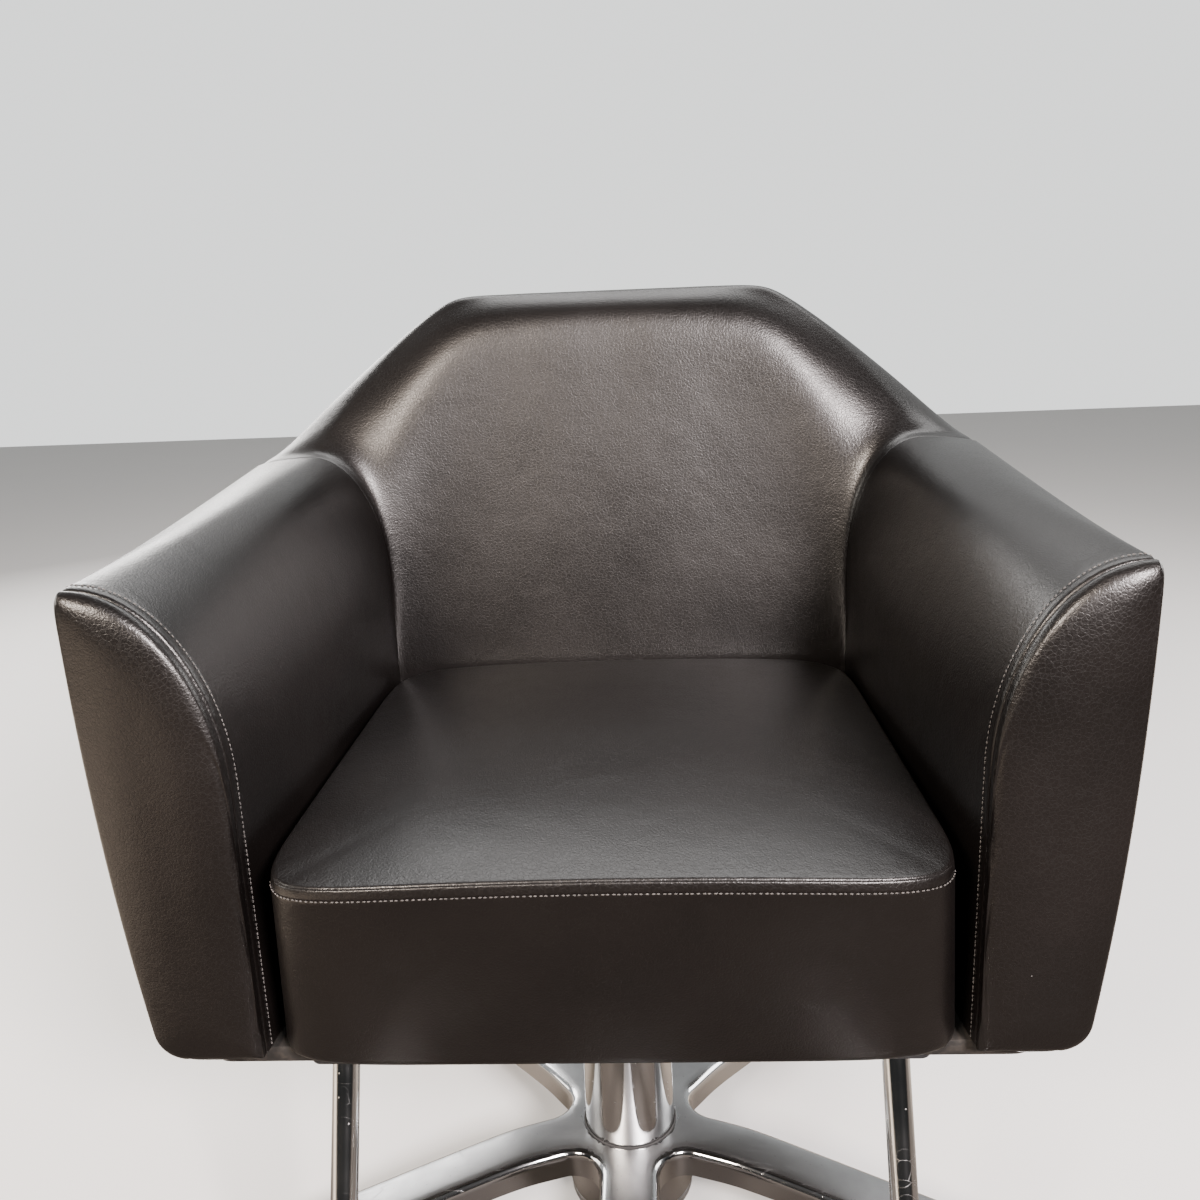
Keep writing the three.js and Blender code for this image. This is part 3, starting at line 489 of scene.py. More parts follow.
@dataclass(frozen=True)
class SatinCasting(Finish):
    """Cast aluminium, sanded satin on its flats and buffed bright where the polish attribute says."""

    name: str = "satin_aluminium"
    metal: Colour = (0.52, 0.525, 0.535)
    dull: Colour = (0.27, 0.272, 0.28)
    satin: float = 0.34
    bright: float = 0.1

    def dress(self, graph: Graph, shader: bpy.types.Node) -> None:
        """Sanding marks and porosity on the flats, and low roughness on the buffed edges."""
        place = graph.place()
        polish = graph.node("Attribute", attribute_name="polish").outputs["Fac"]
        patches = Blotches.place(graph, place, Scale=16.0).outputs[0]
        sanded = graph.noise(graph.place((1.0, 1.0, 0.3)), 900.0, 3.0, 0.7)
        scratches = FineScratches.place(graph, place, Scale=110.0, Width=0.016).outputs[0]
        pits = Specks.place(graph, place, Scale=300.0, Share=0.08, Size=0.2).outputs[0]
        flat = graph.math("SUBTRACT", 1.0, polish)
        rough = graph.ranged(polish, 0.0, 1.0, self.satin, self.bright)
        uneven = graph.math("MULTIPLY", graph.ranged(patches, 0.0, 1.0, -0.05, 0.08), flat)
        rough = graph.math("ADD", rough, uneven)
        rough = graph.math("ADD", rough, graph.math("MULTIPLY", scratches, 0.12))
        dulled = graph.math("MULTIPLY", graph.ranged(patches, 0.0, 1.0, 0.3, 1.0), flat)
        colour = graph.blend(dulled, rgba(self.metal), rgba(self.dull))
        colour = graph.blend(graph.math("MULTIPLY", pits, 0.5), colour, rgba((0.2, 0.2, 0.2)))
        marks = self.bump(graph, graph.math("MULTIPLY", sanded, flat), 0.22, 0.0002)
        fine = self.bump(graph, graph.math("ADD", scratches, pits), 0.15, 0.0001, marks)
        self.feed(graph, shader, Base_Color=colour, Roughness=rough, Normal=fine, Metallic=1.0)


@dataclass(frozen=True)
class PlainSteel(Finish):
    """Zinc-plated steel with a grey spangle and rubbed edges."""

    name: str = "zinc_steel"
    metal: Colour = (0.44, 0.45, 0.47)
    spangle: Colour = (0.58, 0.585, 0.6)

    def dress(self, graph: Graph, shader: bpy.types.Node) -> None:
        """Spangle in the colour, and brighter metal along the edges."""
        place = graph.place()
        cells = graph.node("TexVoronoi", {"Vector": place, "Scale": 420.0}).outputs["Color"]
        share = graph.node("SeparateColor", {0: cells}).outputs[0]
        wear = EdgeWear.place(graph, place, Low=0.52, High=0.62, Scale=300.0).outputs[0]
        colour = graph.blend(graph.math("MULTIPLY", share, 0.5), rgba(self.metal), rgba(self.spangle))
        colour = graph.blend(wear, colour, rgba((0.72, 0.72, 0.72)))
        patches = Blotches.place(graph, place, Scale=40.0).outputs[0]
        rough = graph.ranged(patches, 0.0, 1.0, 0.26, 0.42)
        normal = self.bump(graph, graph.noise(place, 1200.0, 3.0), 0.15, 0.0001)
        self.feed(graph, shader, Base_Color=colour, Roughness=rough, Normal=normal, Metallic=1.0)


@dataclass(frozen=True)
class PowderCoat(Finish):
    """Black powder coat with a fine orange-peel texture, worn to steel on its edges."""

    name: str = "black_powder_coat"
    coat: Colour = (0.018, 0.018, 0.02)
    metal: Colour = (0.3, 0.3, 0.31)

    def dress(self, graph: Graph, shader: bpy.types.Node) -> None:
        """Orange peel as a bump, bare metal where the edges are rubbed."""
        place = graph.place()
        wear = EdgeWear.place(graph, place, Low=0.58, High=0.7, Scale=260.0).outputs[0]
        patches = Blotches.place(graph, place, Scale=30.0).outputs[0]
        faded = graph.math("MULTIPLY", patches, 0.3)
        colour = graph.blend(faded, rgba(self.coat), rgba((0.04, 0.04, 0.042)))
        colour = graph.blend(wear, colour, rgba(self.metal))
        rough = graph.ranged(patches, 0.0, 1.0, 0.38, 0.52)
        normal = self.bump(graph, graph.noise(place, 1500.0, 2.0), 0.3, 0.00018)
        self.feed(graph, shader, Base_Color=colour, Roughness=rough, Normal=normal, Metallic=wear)


@dataclass(frozen=True)
class Rubber(Finish):
    """Black moulded rubber, dusty in patches and paler on its edges."""

    name: str = "black_rubber"
    tone: Colour = (0.017, 0.017, 0.018)
    dusty: Colour = (0.075, 0.072, 0.068)

    def dress(self, graph: Graph, shader: bpy.types.Node) -> None:
        """Dust in the colour, and a fine moulded stipple."""
        place = graph.place()
        patches = Blotches.place(graph, place, Scale=60.0).outputs[0]
        wear = EdgeWear.place(graph, place, Low=0.52, High=0.64, Scale=500.0).outputs[0]
        settled = graph.math("MULTIPLY", patches, 0.35)
        dust = graph.math("MAXIMUM", settled, graph.math("MULTIPLY", wear, 0.6))
        colour = graph.blend(dust, rgba(self.tone), rgba(self.dusty))
        rough = graph.ranged(patches, 0.0, 1.0, 0.62, 0.8)
        normal = self.bump(graph, graph.noise(place, 2200.0, 2.0), 0.35, 0.00015)
        self.feed(graph, shader, Base_Color=colour, Roughness=rough, Normal=normal)


@dataclass(frozen=True)
class BirchPly(Finish):
    """Raw birch plywood: long grain on the faces, and thin plies along the edges."""

    name: str = "birch_plywood"
    pale: Colour = (0.56, 0.42, 0.27)
    dark: Colour = (0.35, 0.23, 0.125)

    def dress(self, graph: Graph, shader: bpy.types.Node) -> None:
        """Stretched noise for the grain, and bands through the thickness for the plies."""
        grain = graph.noise(graph.place((1.0, 0.06, 1.0)), 190.0, 5.0, 0.6)
        layers = graph.node("TexWave", {"Vector": graph.place(), "Scale": 110.0}, bands_direction="Z")
        plies = graph.ranged(layers.outputs["Fac"], 0.35, 0.65, 0.0, 0.4)
        share = graph.math("ADD", graph.ranged(grain, 0.35, 0.7, 0.0, 0.6), plies)
        colour = graph.blend(share, rgba(self.pale), rgba(self.dark))
        normal = self.bump(graph, grain, 0.3, 0.0003)
        rough = graph.ranged(grain, 0.3, 0.7, 0.55, 0.72)
        self.feed(graph, shader, Base_Color=colour, Roughness=rough, Normal=normal)


@dataclass(frozen=True)
class StudioFloor(Finish):
    """Plain pale studio floor to the camera, with a painted shadow and painted warm light in the colour
    that other rays see.
    """

    name: str = "studio_floor"
    tone: Colour = (0.80, 0.79, 0.78)
    # Painted shadow colour, seen in reflections and bounced light in front of the chair; lit_bounce is
    # painted warm light.
    painted_shadow_bounce: Colour = (0.075, 0.066, 0.058)
    lit_bounce: Colour = (0.80, 0.70, 0.58)

    def dress(self, graph: Graph, shader: bpy.types.Node) -> None:
        """A very faint unevenness; to rays other than the camera's its colour is a painted shadow in front
        of the chair and painted warm light behind it and to its left.
        """
        patches = graph.noise(graph.place(), 3.0, 3.0)
        rough = graph.ranged(patches, 0.3, 0.7, 0.5, 0.58)
        # Painted light: the camera sees the plain tone, other rays see a painted shadow in front of the
        # chair and painted warm light behind and to the left.
        seen = graph.node("LightPath").outputs["Is Camera Ray"]
        apart = graph.node("SeparateXYZ", {"Vector": graph.place()}).outputs
        behind = graph.ranged(apart["Y"], -0.1, 0.8, 0.0, 1.0)
        left = graph.ranged(apart["X"], -1.25, -0.7, 1.0, 0.0)
        bright = graph.math("MAXIMUM", behind, left)
        thrown = graph.blend(bright, rgba(self.painted_shadow_bounce), rgba(self.lit_bounce))
        tone = graph.blend(seen, thrown, rgba(self.tone))
        self.feed(graph, shader, Base_Color=tone, Roughness=rough, Specular_IOR_Level=0.05)


@dataclass(frozen=True)
class StainedBoard(Finish):
    """Plywood stained black under the upholstery."""

    name: str = "black_stained_board"
    stain: Colour = (0.012, 0.011, 0.010)
    thin: Colour = (0.035, 0.029, 0.024)

    def dress(self, graph: Graph, shader: bpy.types.Node) -> None:
        """The stain takes less on the hard grain."""
        grain = graph.noise(graph.place((1.0, 0.06, 1.0)), 190.0, 5.0, 0.6)
        colour = graph.blend(graph.ranged(grain, 0.45, 0.75, 0.0, 1.0), rgba(self.stain), rgba(self.thin))
        normal = self.bump(graph, grain, 0.3, 0.0003)
        rough = graph.ranged(grain, 0.3, 0.7, 0.6, 0.75)
        self.feed(graph, shader, Base_Color=colour, Roughness=rough, Normal=normal)


LEATHER = Leatherette()
THREAD = Thread()
CHROME = Polished()
ALUMINIUM = SatinCasting()
STEEL = PlainSteel()
POWDER = PowderCoat()
RUBBER = Rubber()
PLY = BirchPly()
STAINED = StainedBoard()
FINISHES = {
    Slot.UPHOLSTERY: LEATHER,
    Slot.CHROME: CHROME,
    Slot.CAST_ALUMINIUM: ALUMINIUM,
    Slot.STEEL: STEEL,
    Slot.BLACK_STEEL: POWDER,
    Slot.RUBBER: RUBBER,
    Slot.PLYWOOD: PLY,
}


# ---- pieces --------------------------------------------------------------------------------------


def finished(piece: bpy.types.Object, finish: Finish, body: Body, slot: Slot | None, *nodes: str) -> None:
    """Gives a piece its finish and body, and hides the CAD nodes that it stands for.

    Args:
        piece: The finished object, with its place in its mesh.
        finish: What it is made of.
        body: The body that it moves with.
        slot: Not used; the record's material slot, or None where the record has none for it.
        nodes: The CAD nodes that it replaces.
    """
    piece.data.materials.clear()
    piece.data.materials.append(finish.material())
    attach(piece, body.value)
    if nodes:
        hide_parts(*nodes)
    LOG.info("%s: %d faces", piece.name, len(piece.data.polygons))


def object_from(bm: bmesh.types.BMesh, name: str, smooth: bool = True) -> bpy.types.Object:
    """Turns a bmesh into an object at the origin, and frees the bmesh.

    Args:
        bm: The shape, in the chair's frame.
        name: The piece's name.
        smooth: Whether its faces are shaded smooth.

    Returns:
        The new object.
    """
    for face in bm.faces:
        face.smooth = smooth
    mesh = bpy.data.meshes.new(name)
    bm.to_mesh(mesh)
    bm.free()
    made = bpy.data.objects.new(name, mesh)
    bpy.context.scene.collection.objects.link(made)
    return made


def gridded_box(cuts: Iterable[Iterable[float]]) -> bmesh.types.BMesh:
    """Makes a cube from -1 to 1 whose faces are cut into a grid.

    Args:
        cuts: The places of the cuts along X, Y and Z.

    Returns:
        The gridded cube, with each vertex's place kept in the layer "grid".
    """
    bm = bmesh.new()
    bmesh.ops.create_cube(bm, size=2.0)
    for axis, places in enumerate(cuts):
        normal = Vector([float(i == axis) for i in range(3)])
        for place in places:
            geom = bm.verts[:] + bm.edges[:] + bm.faces[:]
            bmesh.ops.bisect_plane(bm, geom=geom, dist=1e-6, plane_co=normal * place, plane_no=normal)
    layer = bm.verts.layers.float_vector.new("grid")
    for vert in bm.verts:
        vert[layer] = vert.co
    return bm


def even(count: int, start: float = -1.0, end: float = 1.0) -> list[float]:
    """Returns the cuts that part start to end into that many equal cells."""
    return [mix(start, end, i / count) for i in range(1, count)]


@dataclass(frozen=True)
class Filling:
    """How a pad is stuffed: cloth under pressure, held where the cover is sewn or stapled."""

    pressure: float = 4.0
    frames: int = 20
    most: float = 0.006

    def fill(self, piece: bpy.types.Object, held: Callable[[Vector], float]) -> None:
        """Blows the cover up by cloth simulation and keeps the result in its mesh.

        Args:
            piece: The cover, a closed mesh with the layer "grid".
            held: How firmly a point is held, from 0 to 1, by its place in the grid.
        """
        mesh = piece.data
        rest = np.array([v.co for v in mesh.vertices])
        group = piece.vertex_groups.new(name="held")
        places = [value.vector.copy() for value in mesh.attributes["grid"].data]
        firmness = np.array([held(place) for place in places])
        for index, firm in enumerate(firmness):
            group.add([index], float(firm), "REPLACE")
        cloth = piece.modifiers.new("filling", "CLOTH")
        cloth.point_cache.frame_start = 1
        cloth.point_cache.frame_end = self.frames
        settings = cloth.settings
        settings.quality = 6
        settings.mass = 0.35
        settings.tension_stiffness = settings.compression_stiffness = 30.0
        settings.shear_stiffness = 12.0
        settings.bending_stiffness = 4.0
        settings.vertex_group_mass = "held"
        settings.use_pressure = True
        settings.uniform_pressure_force = self.pressure
        settings.effector_weights.gravity = 0.0
        scene = bpy.context.scene
        for number in range(1, self.frames + 1):
            scene.frame_set(number)
        blown = piece.evaluated_get(bpy.context.evaluated_depsgraph_get()).to_mesh()
        moved = np.array([v.co for v in blown.vertices]) - rest
        scene.frame_set(1)
        piece.modifiers.remove(cloth)
        piece.vertex_groups.remove(group)
        length = np.linalg.norm(moved, axis=1, keepdims=True)
        capped = moved * self.most * np.tanh(length / self.most) / np.maximum(length, 1e-9)
        capped *= (1.0 - firmness)[:, None]
        mesh.vertices.foreach_set("co", (rest + capped).astype(np.float32).ravel())
        mesh.update()
        LOG.info("%s filled: %.1f mm at most", piece.name, 1000.0 * float(np.abs(capped).max()))


def search_tree(points: list[Vector]) -> kdtree.KDTree:
    """Returns a search tree that finds the nearest of some points."""
    made = kdtree.KDTree(len(points))
    for index, point in enumerate(points):
        made.insert(point, index)
    made.balance()
    return made


@dataclass
class Seam:
    """A sewn line on a pad: a chain of grid edges that is drawn in, with a near_seam mask round it."""

    chosen: Callable[[Vector, Vector], bool]
    depth: float = 0.0012
    width: float = 0.0022
    points: list[Vector] = field(default_factory=list)
    normals: list[Vector] = field(default_factory=list)

    def sew(self, bm: bmesh.types.BMesh) -> None:
        """Cuts rows beside the chosen edges and draws the middle one in.

        Args:
            bm: The pad, with the layer "grid".
        """
        layer = bm.verts.layers.float_vector["grid"]
        edges = [e for e in bm.edges if self.chosen(e.verts[0][layer], e.verts[1][layer])]
        bm.normal_update()
        self._remember(edges)
        bmesh.ops.bevel(
            bm, geom=edges, offset=self.width, segments=4, profile=0.5, affect="EDGES", material=-1
        )
        bm.normal_update()
        tree = search_tree(self.points)
        for vert in bm.verts:
            found, index, distance = tree.find(vert.co)
            if distance < self.width * 1.5:
                share = math.exp(-((distance / (self.width * 0.45)) ** 2))
                vert.co -= self.normals[index] * self.depth * share

    def _remember(self, edges: list[bmesh.types.BMEdge]) -> None:
        """Keeps the chain's points in order, about a millimetre apart, with the surface's normals."""
        points, normals = chain(edges)
        for index in range(len(points) - 1):
            steps = max(1, round((points[index + 1] - points[index]).length / 0.001))
            for step in range(steps):
                self.points.append(points[index].lerp(points[index + 1], step / steps))
                self.normals.append(normals[index].lerp(normals[index + 1], step / steps).normalized())


def chain(edges: list[bmesh.types.BMEdge]) -> tuple[list[Vector], list[Vector]]:
    """Walks connected edges from one end to the other.

    Args:
        edges: The edges, in any order.

    Returns:
        The vertices' places and normals in order.
    """
    around: dict = {}
    for edge in edges:
        for vert in edge.verts:
            around.setdefault(vert, []).append(edge)
    ends = [v for v, found in around.items() if len(found) == 1]
    start = min(ends or around, key=lambda v: (round(v.co.x, 5), round(v.co.y, 5), round(v.co.z, 5)))
    order, last = [start], None
    while True:
        onward = [e for e in around[order[-1]] if e is not last]
        if not onward:
            break
        last = onward[0]
        following = last.other_vert(order[-1])
        order.append(following)
        if following is start:
            break
    return [v.co.copy() for v in order], [v.normal.copy() for v in order]


@dataclass
class Stitching:
    """A row of stitches along a path on a surface, one small mesh for the whole row."""

    pitch: float = 0.0035
    length: float = 0.0026
    radius: float = 0.00048
    lift: float = 0.0002

    def row(self, name: str, points: list[Vector], normals: list[Vector]) -> bpy.types.Object:
        """Lays the stitches.

        Args:
            name: The row's name.
            points: The path, close together.
            normals: The surface's normal at each point.

        Returns:
            The row's object.
        """
        along = np.concatenate([[0.0], np.cumsum([(b - a).length for a, b in zip(points, points[1:])])])
        count = int(along[-1] / self.pitch)
        stitches = bmesh.new()
        for number in range(count):
            middle = (number + 0.5) * self.pitch
            index = int(np.searchsorted(along, middle))
            before, after = points[max(0, index - 2)], points[min(len(points) - 1, index + 2)]
            self._stitch(stitches, points[index], after - before, normals[index])
        return object_from(stitches, name)

    def _stitch(self, bm: bmesh.types.BMesh, place: Vector, along: Vector, up: Vector) -> None:
        """Adds one stitch: a small ball drawn out along the path and flattened on the surface."""
        forward = along.normalized()
        side = up.cross(forward).normalized()
        turn = Matrix((forward, side, up)).transposed().to_4x4()
        size = Matrix.Diagonal((self.length / 2, self.radius * 1.1, self.radius, 1.0))
        where = Matrix.Translation(place + up * self.lift)
        bmesh.ops.create_icosphere(bm, subdivisions=1, radius=1.0, matrix=where @ turn @ size)


# ---- the tub's shape -----------------------------------------------------------------------------


@dataclass(frozen=True)
class TubShape:
    """The tub's outline: arms that roll over to level tops, and a back that wraps round between them."""

    bottom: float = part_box("arm_pad_left")[0].z
    arm_front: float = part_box("arm_front_panel_left")[0].y
    seam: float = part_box("arm_pad_left")[1].y
    outer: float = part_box("arm_pad_right")[1].x
    inner_front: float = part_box("arm_front_panel_right")[0].x
    inner_rear: float = 0.220
    bulge: float = 0.022
    corner: float = 0.020
    top_front: float = 0.638
    top_rear: float = 0.663
    shoulder_front: float = 0.500
    shoulder_rear: float = 0.540
    flat_front: float = 0.004
    flat_rear: float = 0.055
    roll_share: float = 0.8

    def share(self, y: float) -> float:
        """How far along an arm a place is, from its front to the seam with the back."""
        return (y - self.arm_front) / (self.seam - self.arm_front)

    def drawn_in(self, z: float, top: float) -> float:
        """How far an outer wall lies inside its full half width at a height."""
        down = clamp01((top - z) / (top - self.bottom))
        corner = clamp01((self.bottom + self.corner - z) / self.corner)
        return self.bulge * down**2.2 + self.corner * (1.0 - math.sqrt(1.0 - corner * corner))

    def rise(self, c: float) -> float:
        """Heights on a wall, closer together where the bottom corner rounds off."""
        t = (c + 1.0) / 2.0
        return 0.1 * (t / 0.4) ** 2 if t < 0.4 else mix(0.1, 1.0, (t - 0.4) / 0.6)

    def section(self, share: float) -> dict[str, float]:
        """An arm's section at a share of its length."""
        return {
            "inner": mix(self.inner_front, self.inner_rear, share),
            "outer": self.outer,
            "flat": self.outer - mix(self.flat_front, self.flat_rear, share),
            "top": mix(self.top_front, self.top_rear, share),
            "shoulder": mix(self.shoulder_front, self.shoulder_rear, share),
        }

    def point(self, section: dict[str, float], t: float, c: float) -> tuple[float, float]:
        """A point of a section.

        Args:
            section: The section's sizes.
            t: From the inner wall at 0 to the outer wall at 1.
            c: From the bottom at -1 to the top at 1.

        Returns:
            How far across the point is, and its height.
        """
        angle = clamp01(t / self.roll_share) * math.pi / 2.0
        strip = clamp01((t - self.roll_share) / (1.0 - self.roll_share))
        rolled = section["flat"] - (section["flat"] - section["inner"]) * math.cos(angle)
        plain = mix(rolled, section["outer"], strip)
        top = mix(section["shoulder"], section["top"], math.sin(angle)) - 0.006 * strip * strip
        z = mix(self.bottom, top, self.rise(c))
        share = (plain - section["inner"]) / (section["outer"] - section["inner"])
        outer = section["outer"] - self.drawn_in(z, section["top"])
        return mix(section["inner"], outer, share), z


def tuck(bm: bmesh.types.BMesh, plane: float, radius: float) -> None:
    """Rounds a pad's rim into a joint that lies in a plane across Y.

    Args:
        bm: The pad.
        plane: The joint's place along Y.
        radius: The rim's round.
    """
    bm.normal_update()
    moves = {}
    for vert in bm.verts:
        away = abs(vert.co.y - plane)
        walls = [f.normal for f in vert.link_faces if abs(f.normal.y) < 0.8]
        if away < radius and walls:
            normal = sum(walls, Vector())
            normal.y = 0.0
            if normal.length > 1e-6:
                inward = radius - math.sqrt(radius**2 - (radius - away) ** 2)
                moves[vert] = normal.normalized() * inward
    for vert, move in moves.items():
        vert.co -= move


def mask_seams(piece: bpy.types.Object, paths: list[list[Vector]], reach: float) -> None:
    """Writes the near_seam attribute: 1 at a seam, fading out with distance.

    Args:
        piece: The pad.
        paths: The seams' points.
        reach: How far from a seam its pulls show.
    """
    tree = search_tree([point for path in paths for point in path])
    layer = piece.data.attributes.new("near_seam", "FLOAT", "POINT")
    for index, vert in enumerate(piece.data.vertices):
        distance = tree.find(vert.co)[2]
        layer.data[index].value = math.exp(-((distance / reach) ** 2))


def softened(piece: bpy.types.Object) -> None:
    """Adds the subdivision that makes a cover's surface smooth."""
    soft = piece.modifiers.new("soft_surface", "SUBSURF")
    soft.levels = soft.render_levels = 1


def bmesh_of(piece: bpy.types.Object) -> bmesh.types.BMesh:
    """Reads a piece's mesh into a bmesh."""
    bm = bmesh.new()
    bm.from_mesh(piece.data)
    return bm


def write_back(bm: bmesh.types.BMesh, piece: bpy.types.Object) -> None:
    """Puts a bmesh back into its piece, shaded smooth, and frees it."""
    for face in bm.faces:
        face.smooth = True
    bm.to_mesh(piece.data)
    bm.free()


@dataclass
class ArmPad:
    """The cover of one arm, from its front seam to the back's, with a topstitch near its front."""

    side: Side
    shape: TubShape = field(default_factory=TubShape)
    across: int = 30
    along: int = 48
    high: int = 34
    topstitch: float = 0.0085
    rim: float = 0.0032
    filling: Filling = Filling(most=0.003)

    def build(self) -> None:
        """Models, fills, sews and dresses the pad."""
        node = f"arm_pad_{self.side.word}"
        low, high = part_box(node)
        rows = [low.y + 0.0009, low.y + 0.0024, low.y + self.topstitch, high.y - 0.0024, high.y - 0.0009]
        fixed = [2.0 * (y - low.y) / (high.y - low.y) - 1.0 for y in rows]
        middle = [fixed[2] + (fixed[3] - fixed[2]) * i / self.along for i in range(1, self.along)]
        bm = gridded_box([even(self.across), sorted(fixed + middle), even(self.high)])
        stitch_row = fixed[2]
        for vert in bm.verts:
            vert.co = self._place(vert.co, low.y, high.y)
        piece = object_from(bm, f"arm_cover_{self.side.word}")
        self.filling.fill(piece, self._held)
        bm = bmesh_of(piece)
        tuck(bm, low.y, self.rim)
        tuck(bm, high.y, self.rim * 0.7)
        channel = Seam(lambda p, q: self._on_row(p, q, stitch_row), depth=0.0006, width=0.0016)
        channel.sew(bm)
        write_back(bm, piece)
        rims = self._rims(piece, low.y, high.y)
        mask_seams(piece, [channel.points, *rims], 0.013)
        softened(piece)
        finished(piece, LEATHER, Body.SEAT, Slot.UPHOLSTERY, node)
        row = Stitching().row(f"arm_topstitch_{self.side.word}", channel.points, channel.normals)
        finished(row, THREAD, Body.SEAT, None)

    def _place(self, at: Vector, front: float, rear: float) -> Vector:
        """Places a grid point on the arm."""
        y = mix(front, rear, (at.y + 1.0) / 2.0)
        sign = self.side.value
        section = self.shape.section(self.shape.share(y))
        across, z = self.shape.point(section, (at.x * sign + 1.0) / 2.0, at.z)
        return Vector((sign * across, y, z))

    def _held(self, at: Vector) -> float:
        """Held at both ends, underneath and low on the inner wall, where the seat presses."""
        ends = clamp01((abs(at.y) - 0.93) / 0.05)
        under = clamp01((-0.55 - at.z) / 0.1)
        return max(ends, under)

    def _on_row(self, first: Vector, second: Vector, row: float) -> bool:
        """Whether an edge lies on the topstitch row, on the visible walls."""
        on = abs(first.y - row) < 1e-4 and abs(second.y - row) < 1e-4
        sign = self.side.value
        walls = all(p.z > 0.999 or p.x * sign < -0.999 for p in (first, second))
        return on and walls and min(first.z, second.z) > -0.9

    def _rims(self, piece: bpy.types.Object, front: float, rear: float) -> list[list[Vector]]:
        """The points of the pad's two rims."""
        verts = [v.co.copy() for v in piece.data.vertices]
        return [[v for v in verts if abs(v.y - y) < 0.0012] for y in (front, rear)]


@dataclass
class FrontPanel:
    """The panel that closes an arm's front, pillowed towards its rim."""

    side: Side
    shape: TubShape = field(default_factory=TubShape)
    across: int = 26
    high: int = 56
    pillow: float = 0.036
    turn: float = 0.006
    crown_share: float = 0.42
    turn_share: float = 0.38

    def build(self) -> None:
        """Models, rounds and dresses the panel."""
        node = f"arm_front_panel_{self.side.word}"
        low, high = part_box(node)
        columns = sorted(even(self.across, -0.9, 0.9) + [-0.9, 0.9, -0.95, 0.95, -0.985, 0.985])
        rows = sorted(even(self.high, -0.97, 0.96) + [-0.97, 0.96, 0.99])
        bm = gridded_box([columns, [-0.5, 0.0, 0.5], rows])
        for vert in bm.verts:
            vert.co = self._place(vert.co, low.y, high.y)
        piece = object_from(bm, f"arm_front_cover_{self.side.word}")
        bm = bmesh_of(piece)
        self._round(bm, high.y)
        write_back(bm, piece)
        verts = [v.co.copy() for v in piece.data.vertices]
        mask_seams(piece, [[v for v in verts if v.y > high.y - 0.001]], 0.012)
        softened(piece)
        finished(piece, LEATHER, Body.SEAT, Slot.UPHOLSTERY, node)

    def _place(self, at: Vector, front: float, rear: float) -> Vector:
        """Places a grid point on the panel's flat slab."""
        sign = self.side.value
        across, z = self.shape.point(self.shape.section(0.0), (at.x * sign + 1.0) / 2.0, at.z)
        return Vector((sign * across, mix(front, rear, (at.y + 1.0) / 2.0), z))

    def _round(self, bm: bmesh.types.BMesh, rear: float) -> None:
        """Bends the face back towards the rim, by each vertex's distance from the outline."""
        layer = bm.verts.layers.float_vector["grid"]
        rim = [v.co for v in bm.verts if max(abs(v[layer].x), abs(v[layer].z)) > 0.999]
        tree = search_tree([Vector((point.x, 0.0, point.z)) for point in rim])
        for vert in bm.verts:
            distance = tree.find(Vector((vert.co.x, 0.0, vert.co.z)))[2]
            crown = 1.0 - clamp01(distance / self.pillow)
            turned_in = 1.0 - clamp01(distance / self.turn)
            back = self.crown_share * crown**2.2
            back += self.turn_share * (1.0 - math.sqrt(1.0 - turned_in**2))
            vert.co.y += (rear - vert.co.y) * back


